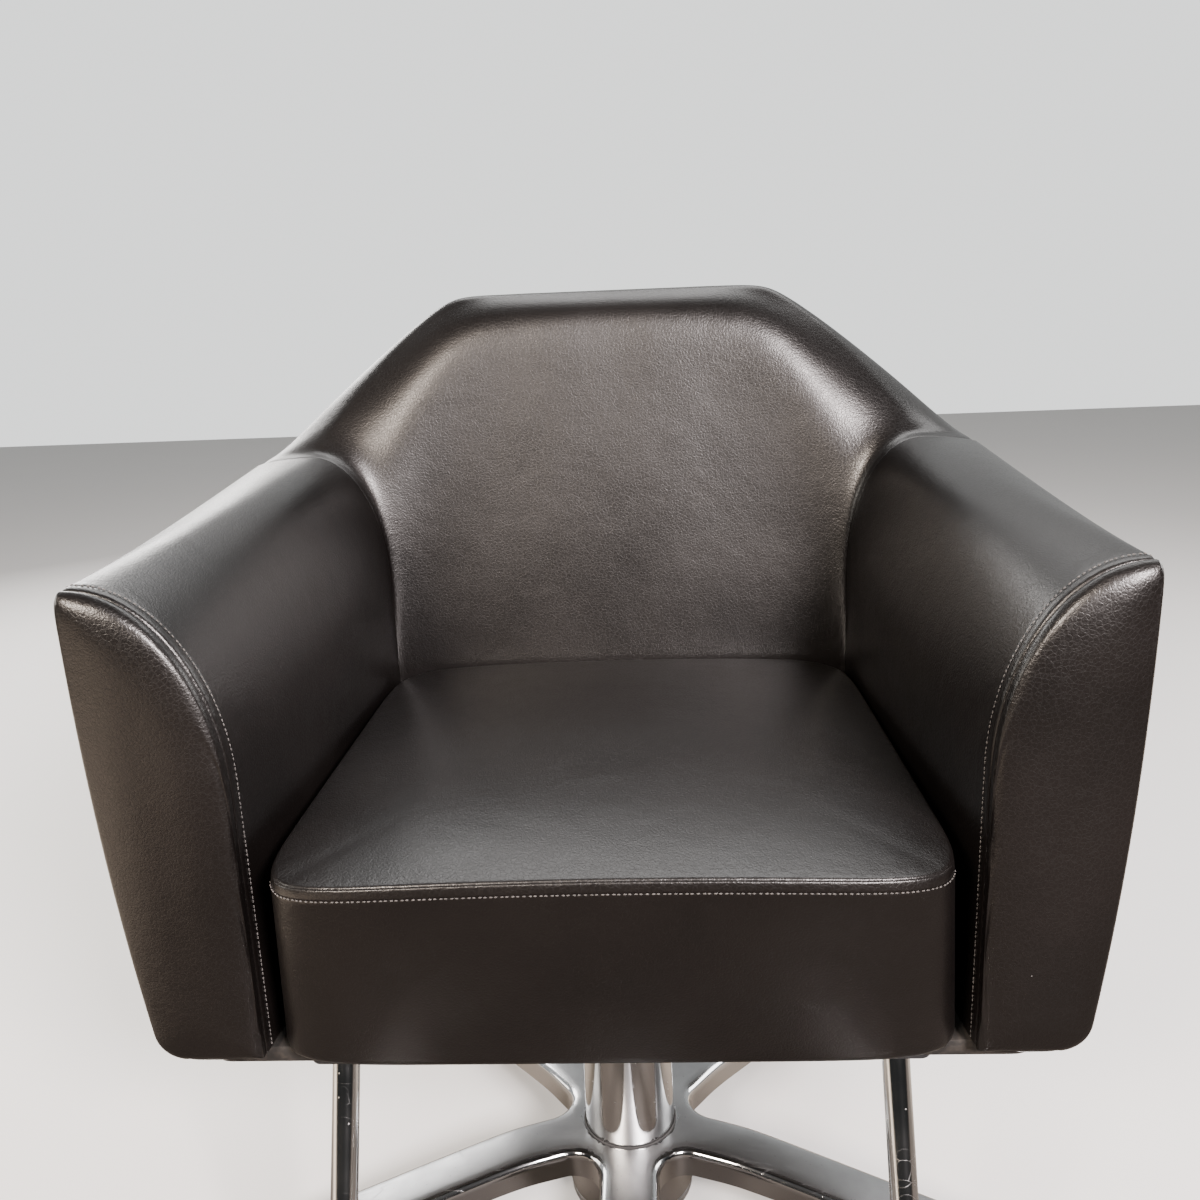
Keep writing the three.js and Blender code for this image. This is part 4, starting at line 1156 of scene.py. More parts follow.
@dataclass
class BackCushion:
    """The back: one cover that wraps round between the arms, leaning back at its middle."""

    shape: TubShape = field(default_factory=TubShape)
    depth: float = 0.098
    top: float = 0.808
    top_half: float = 0.159
    lean: float = 0.058
    roll: float = 0.045
    edge: float = 0.024
    bow: float = 0.008
    seat_top: float = 0.447
    hollow: float = 0.005
    outer_square: float = 3.0
    inner_square: float = 5.0
    columns: int = 104
    across: int = 22
    high: int = 44
    corner: float = 0.016
    taut: int = 70
    taut_to: float = 0.45
    filling: Filling = Filling(most=0.003)

    def build(self) -> None:
        """Models, fills, stretches, tucks and dresses the cushion."""
        bm = gridded_box([even(self.columns), even(self.across), even(self.high)])
        angles, shares = self._spread()
        for vert in bm.verts:
            vert.co = self._place(vert.co, float(np.interp(vert.co.x, shares, angles)))
        piece = object_from(bm, "back_cover")
        self.filling.fill(piece, self._held)
        bm = bmesh_of(piece)
        self._stretch(bm)
        tuck(bm, self.shape.seam, 0.0026)
        write_back(bm, piece)
        verts = [v.co.copy() for v in piece.data.vertices]
        mask_seams(piece, [[v for v in verts if v.y < self.shape.seam + 0.001]], 0.012)
        softened(piece)
        finished(piece, LEATHER, Body.SEAT, Slot.UPHOLSTERY, "back_cushion")

    def _stretch(self, bm: bmesh.types.BMesh) -> None:
        """Draws the cover taut over the inner face, so that the roll runs out smoothly into it."""
        layer = bm.verts.layers.float_vector["grid"]
        free = []
        for vert in bm.verts:
            at = vert[layer]
            inside = at.y < -0.999 or (at.z > 0.999 and at.y < self.taut_to)
            if inside and abs(at.x) < 0.975 and vert.co.z > self.seat_top - 0.03:
                free.append(vert)
        for _ in range(self.taut):
            bmesh.ops.smooth_vert(
                bm, verts=free, factor=0.5, use_axis_x=True, use_axis_y=True, use_axis_z=True
            )

    def _spread(self) -> tuple[np.ndarray, np.ndarray]:
        """Angles round the back, and where each lies when the columns are evenly wide."""
        angles = np.linspace(-math.pi / 2, math.pi / 2, 4001)
        outer = np.array([self._plan(a, self.shape.outer, self.depth, self.outer_square) for a in angles])
        half, square = self.shape.inner_rear, self.inner_square
        inner = np.array([self._plan(a, half, self.hollow, square) for a in angles])
        steps = sum(np.linalg.norm(np.diff(line, axis=0), axis=1) for line in (outer, inner))
        length = np.concatenate([[0.0], np.cumsum(steps)])
        return angles, 2.0 * length / length[-1] - 1.0

    def _plan(self, angle: float, half: float, depth: float, square: float) -> tuple[float, float]:
        """A point of the back's plan, seen from above."""
        power = 2.0 / square
        x = half * math.copysign(abs(math.sin(angle)) ** power, angle)
        return x, self.shape.seam + depth * abs(math.cos(angle)) ** power

    def _height(self, x: float) -> float:
        """Height of the top edge: level, then sloping to the arms with a rounded corner."""
        start = self.top_half
        past = abs(x) - start
        eased = (past + math.sqrt(past * past + self.corner**2)) / 2.0
        share = clamp01(eased / (self.shape.outer - start))
        return mix(self.top, self.shape.top_rear, share) + self.bow * math.sin(math.pi * share)

    def _place(self, at: Vector, angle: float) -> Vector:
        """Places a grid point on the back."""
        outer = Vector(self._plan(angle, self.shape.outer, self.depth, self.outer_square))
        inner = Vector(self._plan(angle, self.shape.inner_rear, self.hollow, self.inner_square))
        thick = (outer - inner).length
        middle = 1.0 - (abs(angle) / (math.pi / 2.0)) ** 1.5
        high = self._height(outer.x)
        full = self.shape.outer - self.shape.inner_rear
        section = {
            "inner": 0.0,
            "outer": thick,
            "flat": thick - mix(self.shape.flat_rear, self.edge, middle) * min(1.0, thick / full),
            "top": high,
            "shoulder": mix(self.shape.shoulder_rear, high - self.roll, middle),
        }
        t = (at.y + 1.0) / 2.0
        across, z = self.shape.point(section, t, at.z)
        up = clamp01((z - self.seat_top) / (high - self.seat_top))
        leant = across + (1.0 - t) * self.lean * middle * up
        flat = inner.lerp(outer, leant / thick)
        return Vector((flat.x, flat.y, z))

    def _held(self, at: Vector) -> float:
        """Held at the seams with the arms and along the bottom."""
        ends = clamp01((abs(at.x) - 0.93) / 0.05)
        under = clamp01((-0.6 - at.z) / 0.1)
        return max(ends, under)


@dataclass
class SeatCushion:
    """The seat: a crowned top sewn to a boxing, with a topstitch under the front of the seam."""

    shape: TubShape = field(default_factory=TubShape)
    top: float = 0.447
    crown: float = 0.012
    half_front: float = 0.228
    half_rear: float = 0.217
    front_top: float = -0.248
    front_bottom: float = -0.218
    play: float = 0.003
    square: float = 9.5
    bow: float = 0.006
    topstitch: float = 0.0085
    across: int = 58
    along: int = 56
    high: int = 18
    filling: Filling = Filling(most=0.007)

    def build(self) -> None:
        """Models, fills, sews and dresses the cushion."""
        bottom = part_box("seat_cushion")[0].z
        stitched = 1.0 - 2.0 * self.topstitch / (self.top - bottom)
        rows = even(self.high, -1.0, stitched) + [stitched]
        bm = gridded_box([even(self.across), even(self.along), rows])
        for vert in bm.verts:
            vert.co = self._place(vert.co, bottom)
        piece = object_from(bm, "seat_cover")
        self.filling.fill(piece, self._held)
        bm = bmesh_of(piece)
        seam = Seam(self._on_seam, depth=0.0014, width=0.0021)
        seam.sew(bm)
        channel = Seam(lambda p, q: self._on_channel(p, q, stitched), depth=0.0006, width=0.0016)
        channel.sew(bm)
        write_back(bm, piece)
        mask_seams(piece, [seam.points, channel.points], 0.014)
        softened(piece)
        finished(piece, LEATHER, Body.SEAT, Slot.UPHOLSTERY, "seat_cushion")
        row = Stitching(radius=0.0005).row("seat_topstitch", channel.points, channel.normals)
        finished(row, THREAD, Body.SEAT, None)

    def _place(self, at: Vector, bottom: float) -> Vector:
        """Places a grid point on the cushion."""
        a, b, c = at
        size = (abs(a) ** self.square + abs(b) ** self.square) ** (1.0 / self.square)
        scale = max(abs(a), abs(b)) / size if size > 0.0 else 1.0
        low = 1.0 - (c + 1.0) / 2.0
        on_top = c > 0.999
        front = mix(self.front_top, self.front_bottom, low) + (0.003 if on_top else 0.0)
        y = mix(front, self.shape.seam - 0.002, (b * scale + 1.0) / 2.0)
        share = clamp01(self.shape.share(y))
        wall = mix(self.shape.inner_front, self.shape.inner_rear, share) - self.play
        half = mix(mix(self.half_front, self.half_rear, share), wall, low)
        rise = self.crown * (1.0 - a**4) * (1.0 - b**4) if on_top else 0.0
        rise += self.bow * (1.0 - a * a) * (1.0 - low)
        return Vector((a * scale * half, y, mix(bottom, self.top, 1.0 - low) + rise))

    def _held(self, at: Vector) -> float:
        """Held underneath, round the top seam and at the rear."""
        under = clamp01((-0.8 - at.z) / 0.1)
        rim = clamp01((max(abs(at.x), abs(at.y)) - 0.985) / 0.015) if at.z > 0.7 else 0.0
        rear = clamp01((at.y - 0.97) / 0.02)
        return max(under, rim, rear)

    def _on_seam(self, first: Vector, second: Vector) -> bool:
        """Whether an edge lies on the seam round the top."""
        return all(p.z > 0.999 and max(abs(p.x), abs(p.y)) > 0.999 for p in (first, second))

    def _on_channel(self, first: Vector, second: Vector, row: float) -> bool:
        """Whether an edge lies on the topstitch row, at the front and a little way along the sides."""
        return all(abs(p.z - row) < 1e-4 and p.y < -0.85 for p in (first, second))


# ---- base, column and footrest -------------------------------------------------------------------


def turned(name: str, profile: list[tuple[float, float]], sides: int = 128) -> bpy.types.Object:
    """Turns a profile about the column's axis.

    Args:
        name: The piece's name.
        profile: Radius and height of each point in order. It ends on the axis or closes on its start.
        sides: Steps in the full turn.

    Returns:
        The turned piece.
    """
    bm = bmesh.new()
    verts = [bm.verts.new((radius, 0.0, height)) for radius, height in profile]
    for first, second in zip(verts, verts[1:]):
        bm.edges.new((first, second))
    if profile[0][0] > 0.0:
        bm.edges.new((verts[-1], verts[0]))
    geom = bm.verts[:] + bm.edges[:]
    bmesh.ops.spin(
        bm, geom=geom, cent=(0, 0, 0), axis=(0, 0, 1), angle=2 * math.pi, steps=sides, use_merge=True
    )
    bmesh.ops.remove_doubles(bm, verts=bm.verts, dist=1e-6)
    bmesh.ops.recalc_face_normals(bm, faces=bm.faces)
    return object_from(bm, name)


def broken_edges(piece: bpy.types.Object, width: float, segments: int = 3) -> None:
    """Adds a bevel along a piece's sharp edges, shaded so that its flats stay flat."""
    bevel = piece.modifiers.new("broken_edges", "BEVEL")
    bevel.width = width
    bevel.segments = segments
    bevel.limit_method = "ANGLE"
    bevel.angle_limit = math.radians(32.0)
    bevel.harden_normals = True


def applied(piece: bpy.types.Object) -> None:
    """Applies a piece's modifiers to its mesh."""
    evaluated = piece.evaluated_get(bpy.context.evaluated_depsgraph_get())
    mesh = bpy.data.meshes.new_from_object(evaluated)
    piece.modifiers.clear()
    piece.data = mesh


def joined(piece: bpy.types.Object, tool: bpy.types.Object, operation: str) -> None:
    """Joins or cuts a piece with a tool, and removes the tool.

    Args:
        piece: The piece that changes.
        tool: The shape joined or cut out.
        operation: UNION or DIFFERENCE.
    """
    cut = piece.modifiers.new("cut", "BOOLEAN")
    cut.object = tool
    cut.operation = operation
    cut.solver = "EXACT"
    applied(piece)
    bpy.data.objects.remove(tool)


@dataclass
class StarBase:
    """The cast five-star base: flat-topped legs with buffed edges, webs between them, and a boss."""

    legs: int = 5
    reach: float = 0.325
    half: float = 0.025
    tip_top: float = 0.034
    tip_depth: float = 0.020
    root_depth: float = 0.026
    flat: float = 0.105
    web: float = 0.060
    hub_arm: float = 0.084
    edge: float = 0.0085
    wall: float = 0.006
    boss: float = 0.056
    hub_top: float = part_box("star_base")[1].z
    hub_bottom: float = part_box("pump_retaining_plate")[1].z + 0.0003
    column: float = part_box("column_cover")[1].x
    slot_half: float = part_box("pedal_lever")[1].x + 0.0025
    crown: float = 0.0012
    crown_run: float = 0.040
    edge_drop: float = 0.92
    shoulder: float = 0.018
    tip_land: float = 0.0018
    boss_edge: float = 0.003
    slot_low: float = 0.024
    slot_high: float = 0.104
    slot_past_web: float = 0.030
    pocket: tuple[float, float] = (0.090, 0.280)

    @property
    def step(self) -> float:
        """Half the angle between two legs."""
        return math.pi / self.legs

    @property
    def web_round(self) -> float:
        """Radius of the concave web between two legs."""
        sine = math.sin(self.step)
        return (self.web * sine - self.half) / (1.0 - sine)

    @property
    def web_centre(self) -> Vector:
        """Centre of the web's round, beside a leg that lies along X."""
        away = self.web + self.web_round
        return Vector((away * math.cos(self.step), away * math.sin(self.step)))

    def build(self) -> None:
        """Models the casting, bores it and dresses it."""
        bm = bmesh.new()
        for index in range(self.legs):
            self._leg(bm, self._direction(index))
        bmesh.ops.remove_doubles(bm, verts=bm.verts, dist=2e-5)
        bmesh.ops.recalc_face_normals(bm, faces=bm.faces)
        piece = object_from(bm, "star_base_casting")
        self._join_boss(piece)
        self._bore(piece)
        bm = bmesh_of(piece)
        bmesh.ops.dissolve_degenerate(bm, dist=1e-5, edges=bm.edges)
        bmesh.ops.remove_doubles(bm, verts=bm.verts, dist=1e-5)
        write_back(bm, piece)
        self._polish(piece)
        finished(piece, ALUMINIUM, Body.BASE, Slot.CAST_ALUMINIUM, "star_base")

    def _direction(self, index: int) -> float:
        """The angle of one leg; the first points to the front."""
        return -math.pi / 2 + index * 2 * self.step

    def _top(self, r: float) -> float:
        """Height of the top at a radius: level over the hub, then an eased slope to the tip."""
        slope = (self.hub_top - self.tip_top) / (self.reach - self.flat)
        past = r - self.flat
        eased = (past + math.hypot(past, self.shoulder)) / 2.0
        return self.hub_top - slope * eased

    def _thickness(self, r: float) -> float:
        """Thickness of the casting at a radius."""
        share = clamp01((r - self.hub_arm) / (self.reach - self.hub_arm))
        return mix(self.root_depth, self.tip_depth, share)

    def _half_width(self, along: float) -> float:
        """Half width of a leg, or of its sector of the hub, at a place along its axis."""
        centre = self.web_centre
        if along <= self.web * math.cos(self.step):
            return along * math.tan(self.step)
        if along >= centre.x:
            return self.half
        return centre.y - math.sqrt(max(0.0, self.web_round**2 - (along - centre.x) ** 2))

    def _leg(self, bm: bmesh.types.BMesh, angle: float) -> None:
        """Adds one leg with its sector of the hub.

        Args:
            bm: The casting.
            angle: The leg's direction.
        """
        foot = self.web * math.cos(self.step)
        start = self.column * 0.45
        places = [mix(foot, start, (i / 10) ** 1.5) for i in range(10, -1, -1)]
        places += [mix(foot, self.hub_arm, (i / 14) ** 1.3) for i in range(1, 15)]
        places += [mix(self.hub_arm, self.reach - self.half, i / 30) for i in range(1, 31)]
        rounding = [math.sin(math.pi / 2 * i / 10) for i in range(1, 11)]
        places += [self.reach - self.half + self.half * share for share in rounding]
        cuts = [2.0 * i / (len(places) - 1) - 1.0 for i in range(1, len(places) - 1)]
        side = [0.0, 0.3, 0.55, 0.74, 0.86, 0.93, 0.975]
        across = sorted({s for v in side for s in (v, -v)})
        leg = gridded_box([cuts, across, [-0.5, 0.0, 0.3, 0.55, 0.75, 0.9]])
        layer = leg.verts.layers.float_vector["grid"]
        for vert in leg.verts:
            index = round((vert[layer].x + 1.0) / 2.0 * (len(places) - 1))
            at_tip = index == len(places) - 1
            vert.co = self._point(places[index], vert[layer].y, vert[layer].z, at_tip)
        inner = [f for f in leg.faces if self._inside(f, foot)]
        bmesh.ops.delete(leg, geom=inner, context="FACES")
        bmesh.ops.rotate(leg, verts=leg.verts, cent=(0, 0, 0), matrix=Matrix.Rotation(angle, 3, "Z"))
        mesh = bpy.data.meshes.new("leg")
        leg.to_mesh(mesh)
        leg.free()
        bm.from_mesh(mesh)
        bpy.data.meshes.remove(mesh)

    def _point(self, along: float, across: float, up: float, tip: bool) -> Vector:
        """Places a grid point on a leg that lies along X."""
        past = clamp01((along - (self.reach - self.half)) / self.half)
        half = self._half_width(along) * math.sqrt(max(0.0, 1.0 - past * past))
        half = max(half, self.tip_land) if tip else half
        y = across * half
        r = math.hypot(along, y)
        rim = self._rim(along, abs(y), half)
        drop = self.edge - math.sqrt(max(0.0, self.edge**2 - max(0.0, self.edge - rim) ** 2))
        crown = self.crown * clamp01((along - self.web * math.cos(self.step)) / self.crown_run)
        top = self._top(r) - drop * self.edge_drop - crown * across * across
        low = self._top(r) - self._thickness(r)
        return Vector((along, y, mix(low, top, (up + 1.0) / 2.0)))

    def _rim(self, along: float, y: float, half: float) -> float:
        """How far a point lies inside the casting's outline."""
        centre = self.web_centre
        if along <= centre.x:
            return (Vector((along, y)) - centre).length - self.web_round
        past = max(0.0, along - (self.reach - self.half))
        return self.half - math.hypot(past, y) if past > 0.0 else half - y

    def _inside(self, face: bmesh.types.BMFace, foot: float) -> bool:
        """Whether a face lies on the cut between two sectors of the hub."""
        middle = face.calc_center_median()
        edge_on = abs(abs(middle.y) - middle.x * math.tan(self.step)) < 1e-5
        return abs(face.normal.z) < 0.5 and edge_on and middle.x < foot

    def _join_boss(self, piece: bpy.types.Object) -> None:
        """Joins the boss under the hub."""
        middle = self.hub_top - self.root_depth / 2
        profile = [(0.0, self.hub_bottom), (self.boss - self.boss_edge, self.hub_bottom)]
        profile += [(self.boss, self.hub_bottom + self.boss_edge), (self.boss, middle), (0.0, middle)]
        joined(piece, turned("boss", profile, 96), "UNION")

    def _bore(self, piece: bpy.types.Object) -> None:
        """Bores the column's hole with its gasket seat and the pedal's slot, and hollows the underside of
        each leg.
        """
        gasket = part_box("column_gasket")
        outer, low = gasket[1].x + 0.0003, gasket[0].z
        bore = self.column + 0.0003
        above = self.hub_top + 0.02
        profile = [(0.0, 0.0), (bore, 0.0), (bore, low), (outer, low), (outer, above), (0.0, above)]
        joined(piece, turned("bore", profile, 96), "DIFFERENCE")
        slot = bmesh.new()
        bmesh.ops.create_cube(slot, size=1.0)
        size = (2.0 * self.slot_half, self.web + self.slot_past_web, self.slot_high - self.slot_low)
        bmesh.ops.scale(slot, vec=size, verts=slot.verts)
        middle = (0.0, size[1] / 2, (self.slot_low + self.slot_high) / 2)
        bmesh.ops.translate(slot, vec=middle, verts=slot.verts)
        joined(piece, object_from(slot, "slot", smooth=False), "DIFFERENCE")
        for index in range(self.legs):
            joined(piece, self._pocket_tool(self._direction(index)), "DIFFERENCE")

    def _pocket_tool(self, angle: float) -> bpy.types.Object:
        """The hollow under one leg, a steady wall below its top."""
        hollow = gridded_box([even(8), [], []])
        layer = hollow.verts.layers.float_vector["grid"]
        for vert in hollow.verts:
            along = mix(*self.pocket, (vert[layer].x + 1.0) / 2.0)
            low, top = 0.0, self._top(along) - self.wall - self.crown
            side = self.half - self.wall
            vert.co = Vector((along, vert[layer].y * side, mix(low, top, (vert[layer].z + 1.0) / 2.0)))
        turn = Matrix.Rotation(angle, 3, "Z")
        bmesh.ops.rotate(hollow, verts=hollow.verts, cent=(0, 0, 0), matrix=turn)
        return object_from(hollow, "pocket", smooth=False)

    def _polish(self, piece: bpy.types.Object) -> None:
        """Writes the polish attribute: bright where the edge rounds over, satin on the flats."""
        mesh = piece.data
        layer = mesh.attributes.new("polish", "FLOAT", "POINT")
        for index, vert in enumerate(mesh.vertices):
            tilt = 1.0 - clamp01(vert.normal.z)
            layer.data[index].value = clamp01((tilt - 0.06) / 0.12)
        mesh.polygons.foreach_set("use_smooth", [True] * len(mesh.polygons))
        mesh.set_sharp_from_angle(angle=math.radians(40.0))
        shade = piece.modifiers.new("flat_tops", "WEIGHTED_NORMAL")
        shade.keep_sharp = True


@dataclass
class Column:
    """The chromed column cover with its cap, foot gasket and piston rod."""

    round_edge: float = 0.0016

    def build(self) -> None:
        """Turns and dresses the column's pieces."""
        self._tube("column_tube", "column_cover", 0.002, CHROME, Body.BASE, Slot.CHROME)
        self._tube("column_end_cap", "cylinder_cap", 0.0166, CHROME, Body.BASE, Slot.CHROME)
        self._tube("column_foot_gasket", "column_gasket", 0.0014, RUBBER, Body.BASE, Slot.RUBBER)
        low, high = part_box("piston_rod")
        profile = [(0.0, low.z), (high.x, low.z), (high.x, high.z), (0.0, high.z)]
        rod = turned("lift_rod", profile)
        broken_edges(rod, 0.001)
        finished(rod, CHROME, Body.LIFT, Slot.CHROME, "piston_rod")

    def _tube(self, name: str, node: str, wall: float, finish: Finish, body: Body, slot: Slot) -> None:
        """Turns a ring that fills a CAD ring's box.

        Args:
            name: The piece's name.
            node: The CAD node that it replaces.
            wall: The ring's wall.
            finish: Its finish.
            body: Its body.
            slot: Its material slot.
        """
        low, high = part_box(node)
        outer, inner = high.x, high.x - wall
        profile = [(inner, low.z), (outer, low.z), (outer, high.z), (inner, high.z)]
        piece = turned(name, profile)
        if node == "column_cover":
            joined(piece, self._crank_slot(outer), "DIFFERENCE")
        broken_edges(piece, min(self.round_edge, wall * 0.3))
        finished(piece, finish, body, slot, node)

    def _crank_slot(self, radius: float) -> bpy.types.Object:
        """The opening in the column's rear through which the pedal's crank works the plunger."""
        low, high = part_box("pump_plunger")
        half = high.x - low.x
        slot = bmesh.new()
        bmesh.ops.create_cube(slot, size=1.0)
        bmesh.ops.scale(slot, vec=(2.0 * half, radius, 2.0 * half), verts=slot.verts)
        bmesh.ops.translate(slot, vec=(0.0, radius, (low.z + high.z) / 2.0), verts=slot.verts)
        return object_from(slot, "crank_slot", smooth=False)


@dataclass
class Footrest:
    """The chromed tube that runs down from the seat, forward and across under the sitter's feet."""

    tube: float = 0.00975
    bend: float = 0.060
    slope: float = 0.463
    bend_steps: int = 18
    spare: float = 0.012

    def build(self) -> None:
        """Sweeps the tube along its line, trims it under the flanges and dresses it."""
        points = self._path()
        curve = bpy.data.curves.new("footrest_line", "CURVE")
        curve.dimensions = "3D"
        curve.bevel_depth = self.tube
        curve.bevel_resolution = 9
        curve.use_fill_caps = True
        spline = curve.splines.new("POLY")
        spline.points.add(len(points) - 1)
        for point, place in zip(spline.points, points):
            point.co = (*place, 1.0)
        line = bpy.data.objects.new("footrest_line", curve)
        bpy.context.scene.collection.objects.link(line)
        bpy.context.view_layer.update()
        mesh = bpy.data.meshes.new_from_object(line.evaluated_get(bpy.context.evaluated_depsgraph_get()))
        bpy.data.objects.remove(line)
        bm = bmesh.new()
        bm.from_mesh(mesh)
        bpy.data.meshes.remove(mesh)
        bmesh.ops.remove_doubles(bm, verts=bm.verts, dist=1e-6)
        geom = bm.verts[:] + bm.edges[:] + bm.faces[:]
        top = (0.0, 0.0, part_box("footrest_bar")[1].z)
        bmesh.ops.bisect_plane(bm, geom=geom, plane_co=top, plane_no=(0, 0, 1), clear_outer=True)
        bmesh.ops.holes_fill(bm, edges=[e for e in bm.edges if e.is_boundary])
        bmesh.ops.recalc_face_normals(bm, faces=bm.faces)
        piece = object_from(bm, "footrest_tube")
        piece.data.set_sharp_from_angle(angle=math.radians(50.0))
        finished(piece, CHROME, Body.SEAT, Slot.CHROME, "footrest_bar")

    def _path(self) -> list[Vector]:
        """The tube's centre line, from the left flange round to the right one."""
        low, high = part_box("footrest_bar")
        half = high.x - self.tube
        level = low.z + self.tube
        front = low.y + self.tube
        flange = high.y - self.tube * math.hypot(1.0, self.slope)
        root = Vector((half, flange + self.spare * self.slope, high.z + self.spare))
        knee = Vector((half, flange - (high.z - level) * self.slope, level))
        corner = Vector((half, front, level))
        across = Vector((-half, front, level))
        right = [root, *self._bend(root, knee, corner), *self._bend(knee, corner, across)]
        left = [Vector((-p.x, p.y, p.z)) for p in right]
        return left + right[::-1]

    def _bend(self, before: Vector, corner: Vector, after: Vector) -> list[Vector]:
        """Points of the curve that rounds a corner."""
        start = corner + (before - corner).normalized() * self.bend
        end = corner + (after - corner).normalized() * self.bend
        steps = [i / self.bend_steps for i in range(self.bend_steps + 1)]
        return [start.lerp(corner, s).lerp(corner.lerp(end, s), s) for s in steps]


# ---- carried-over hardware -----------------------------------------------------------------------


class CadDress:
    """Gives the CAD nodes that stay in view a finish, soft edges and smooth round faces."""

    angle = math.radians(32.0)

    def dress(self) -> None:
        """Dresses every CAD node that nothing replaces."""
        slots = {row["node"]: Slot(row["material_slot"]) for row in frame["record"]["subparts"]}
        for name, node in frame["nodes"].items():
            if node.hide_render:
                continue
            node.data.materials.clear()
            finish = STAINED if name == "bottom_board" else FINISHES[slots[name]]
            node.data.materials.append(finish.material())
            weld = node.modifiers.new("joined_faces", "WELD")
            weld.merge_threshold = 1e-6
            bevel = node.modifiers.new("broken_edges", "BEVEL")
            bevel.width = 0.0005
            bevel.segments = 2
            bevel.limit_method = "ANGLE"
            bevel.angle_limit = self.angle
            shade = node.modifiers.new("smooth_faces", "NODES")
            shade.node_group = self._smoothing()
            LOG.info("%s keeps its CAD shape", name)

    def _smoothing(self) -> bpy.types.NodeTree:
        """Makes the modifier group that shades shallow angles smooth and keeps sharp edges."""
        found = bpy.data.node_groups.get("smooth_shallow_angles")
        if found:
            return found
        tree = bpy.data.node_groups.new("smooth_shallow_angles", "GeometryNodeTree")
        tree.interface.new_socket("Geometry", in_out="INPUT", socket_type="NodeSocketGeometry")
        tree.interface.new_socket("Geometry", in_out="OUTPUT", socket_type="NodeSocketGeometry")
        graph = Graph(tree)
        given = graph.node("NodeGroupInput")
        faces = graph.node("GeometryNodeSetShadeSmooth", {"Geometry": given.outputs[0]}, domain="FACE")
        bend = graph.node("GeometryNodeInputMeshEdgeAngle").outputs[0]
        sharp = graph.node("FunctionNodeCompare", {0: bend, 1: self.angle}, operation="GREATER_THAN")
        edges = graph.node("GeometryNodeSetShadeSmooth", {"Geometry": faces.outputs[0]}, domain="EDGE")
        tree.links.new(sharp.outputs[0], edges.inputs["Selection"])
        edges.inputs["Shade Smooth"].default_value = False
        graph.node("NodeGroupOutput", {0: edges.outputs[0]})
        return tree


# ---- studio --------------------------------------------------------------------------------------


@dataclass(frozen=True)
class Lamp:
    """One soft rectangular lamp: where its middle is, its width and height, its watts and its tint."""

    name: str
    place: tuple[float, float, float]
    size: tuple[float, float]
    watts: float
    tint: Colour

    def hang(self, aim: Vector) -> None:
        """Hangs the lamp so that it faces a point."""
        data = bpy.data.lights.new(self.name, "AREA")
        data.shape = "RECTANGLE"
        data.size, data.size_y = self.size
        data.energy = self.watts
        data.color = self.tint
        made = bpy.data.objects.new(self.name, data)
        bpy.context.scene.collection.objects.link(made)
        made.visible_camera = False
        made.location = self.place
        made.rotation_mode = "QUATERNION"
        made.rotation_quaternion = (aim - Vector(self.place)).to_track_quat("-Z", "Y")


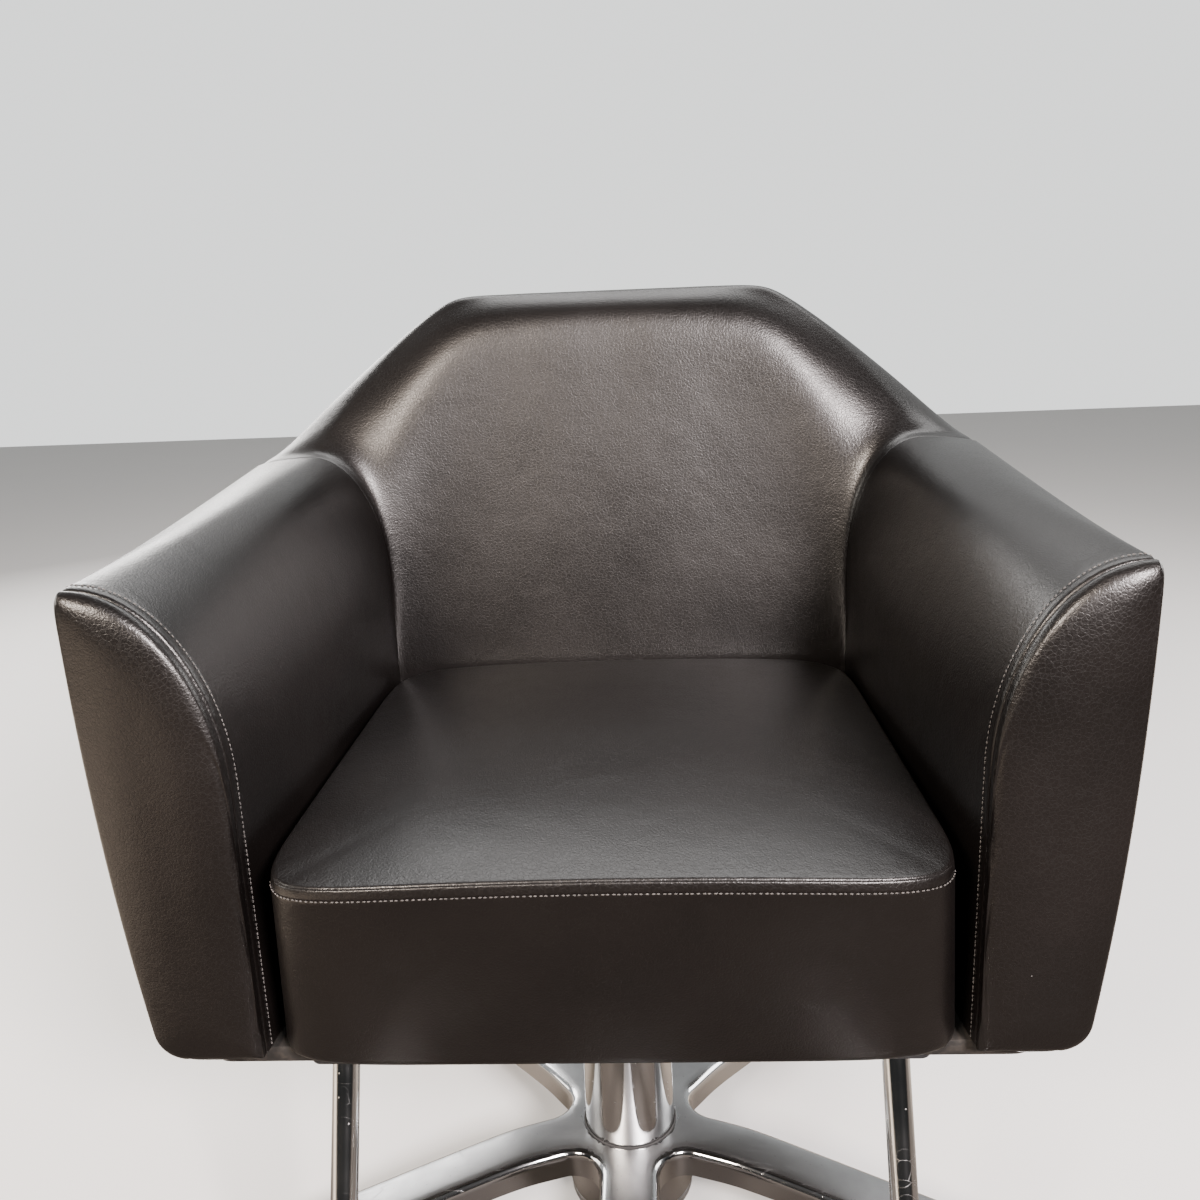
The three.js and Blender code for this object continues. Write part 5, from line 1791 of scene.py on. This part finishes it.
@dataclass
class Studio:
    """A plain pale floor, soft light, and the camera in front of the chair at a standing person's eye."""

    eye: Vector = field(default_factory=lambda: Vector((0.035, -0.889, 0.810)))
    pitch: float = math.radians(15.28)
    yaw: float = math.radians(2.78)
    roll: float = math.radians(-2.35)
    lens: float = 34.59
    sensor: float = 36.0
    floor_size: float = 12.0
    wall: Colour = (0.86, 0.875, 0.87)
    room_front: float = 0.03
    room_rear: float = 0.85
    room_top: float = 0.10
    backdrop: float = 1.75
    chest: Vector = field(default_factory=lambda: Vector((0.0, 0.0, 0.5)))
    lamps: tuple[Lamp, ...] = (
        Lamp("overhead", (0.3, 1.0, 2.4), (2.4, 0.9), 36.0, (1.0, 0.98, 0.97)),
        Lamp("key", (-1.15, -2.1, 1.8), (0.7, 0.5), 110.0, (1.0, 0.86, 0.74)),
        Lamp("fill", (1.1, -2.1, 1.75), (0.6, 0.5), 235.0, (1.0, 0.90, 0.88)),
        Lamp("rear_left", (-1.7, 2.2, 1.5), (1.4, 1.1), 60.0, (1.0, 0.97, 0.94)),
        Lamp("rear_right", (2.3, 0.9, 1.2), (1.2, 1.0), 36.0, (1.0, 0.97, 0.95)),
        Lamp("side_left", (-2.4, 0.1, 1.1), (1.2, 1.0), 26.0, (1.0, 0.93, 0.84)),
    )

    def camera(self) -> None:
        """Makes the camera, aimed by its pitch, yaw and roll."""
        data = bpy.data.cameras.new("view")
        data.lens = self.lens
        data.sensor_width = self.sensor
        data.dof.use_dof = False
        made = bpy.data.objects.new("view", data)
        bpy.context.scene.collection.objects.link(made)
        level = math.cos(self.pitch)
        forward = Vector((-math.sin(self.yaw) * level, math.cos(self.yaw) * level, -math.sin(self.pitch)))
        right = Vector((math.cos(self.yaw), math.sin(self.yaw), 0.0))
        up = right.cross(forward)
        across = math.cos(self.roll) * right + math.sin(self.roll) * up
        upward = math.cos(self.roll) * up - math.sin(self.roll) * right
        turn = Matrix((across, upward, -forward)).transposed().to_4x4()
        made.matrix_world = Matrix.Translation(self.eye) @ turn
        bpy.context.scene.camera = made

    def floor(self) -> None:
        """Lays the floor."""
        bm = bmesh.new()
        bmesh.ops.create_grid(bm, x_segments=2, y_segments=2, size=self.floor_size / 2)
        made = object_from(bm, "floor", smooth=False)
        made.data.materials.append(StudioFloor().material())

    def light(self) -> None:
        """Sets the pale surroundings and the lamps."""
        self._room()
        for lamp in self.lamps:
            lamp.hang(self.chest)

    def _room(self) -> None:
        """Surrounds the chair with a pale wall behind it, a dim room in front and a lit ceiling."""
        world = bpy.data.worlds.new("pale_room")
        bpy.context.scene.world = world
        world.use_nodes = True
        world.node_tree.nodes.clear()
        graph = Graph(world.node_tree)
        toward = graph.node("SeparateXYZ", {0: graph.node("TexCoord").outputs["Generated"]})
        rear = graph.ranged(toward.outputs[1], -0.2, 0.45, self.room_front, self.room_rear)
        over = graph.ranged(toward.outputs[2], 0.35, 0.95, 0.0, self.room_top)
        glow = graph.math("ADD", rear, over)
        seen = graph.node("LightPath").outputs["Is Camera Ray"]
        shown = graph.math("MULTIPLY", seen, self.backdrop)
        unseen = graph.math("MULTIPLY", glow, graph.math("SUBTRACT", 1.0, seen))
        strength = graph.math("ADD", unseen, shown)
        shade = graph.node("Background", {"Color": rgba(self.wall), "Strength": strength})
        graph.node("OutputWorld", {"Surface": shade.outputs[0]})

    def build(self) -> None:
        """Makes the camera, floor and lights."""
        self.camera()
        self.floor()
        self.light()


def main() -> None:
    """Builds the studio and the chair, sub-assembly by sub-assembly."""
    logging.basicConfig(level=logging.INFO, format="%(name)s %(message)s")
    Studio().build()
    for side in Side:
        ArmPad(side).build()
        FrontPanel(side).build()
    BackCushion().build()
    SeatCushion().build()
    StarBase().build()
    Column().build()
    Footrest().build()
    CadDress().dress()


if __name__ == "__main__":
    main()
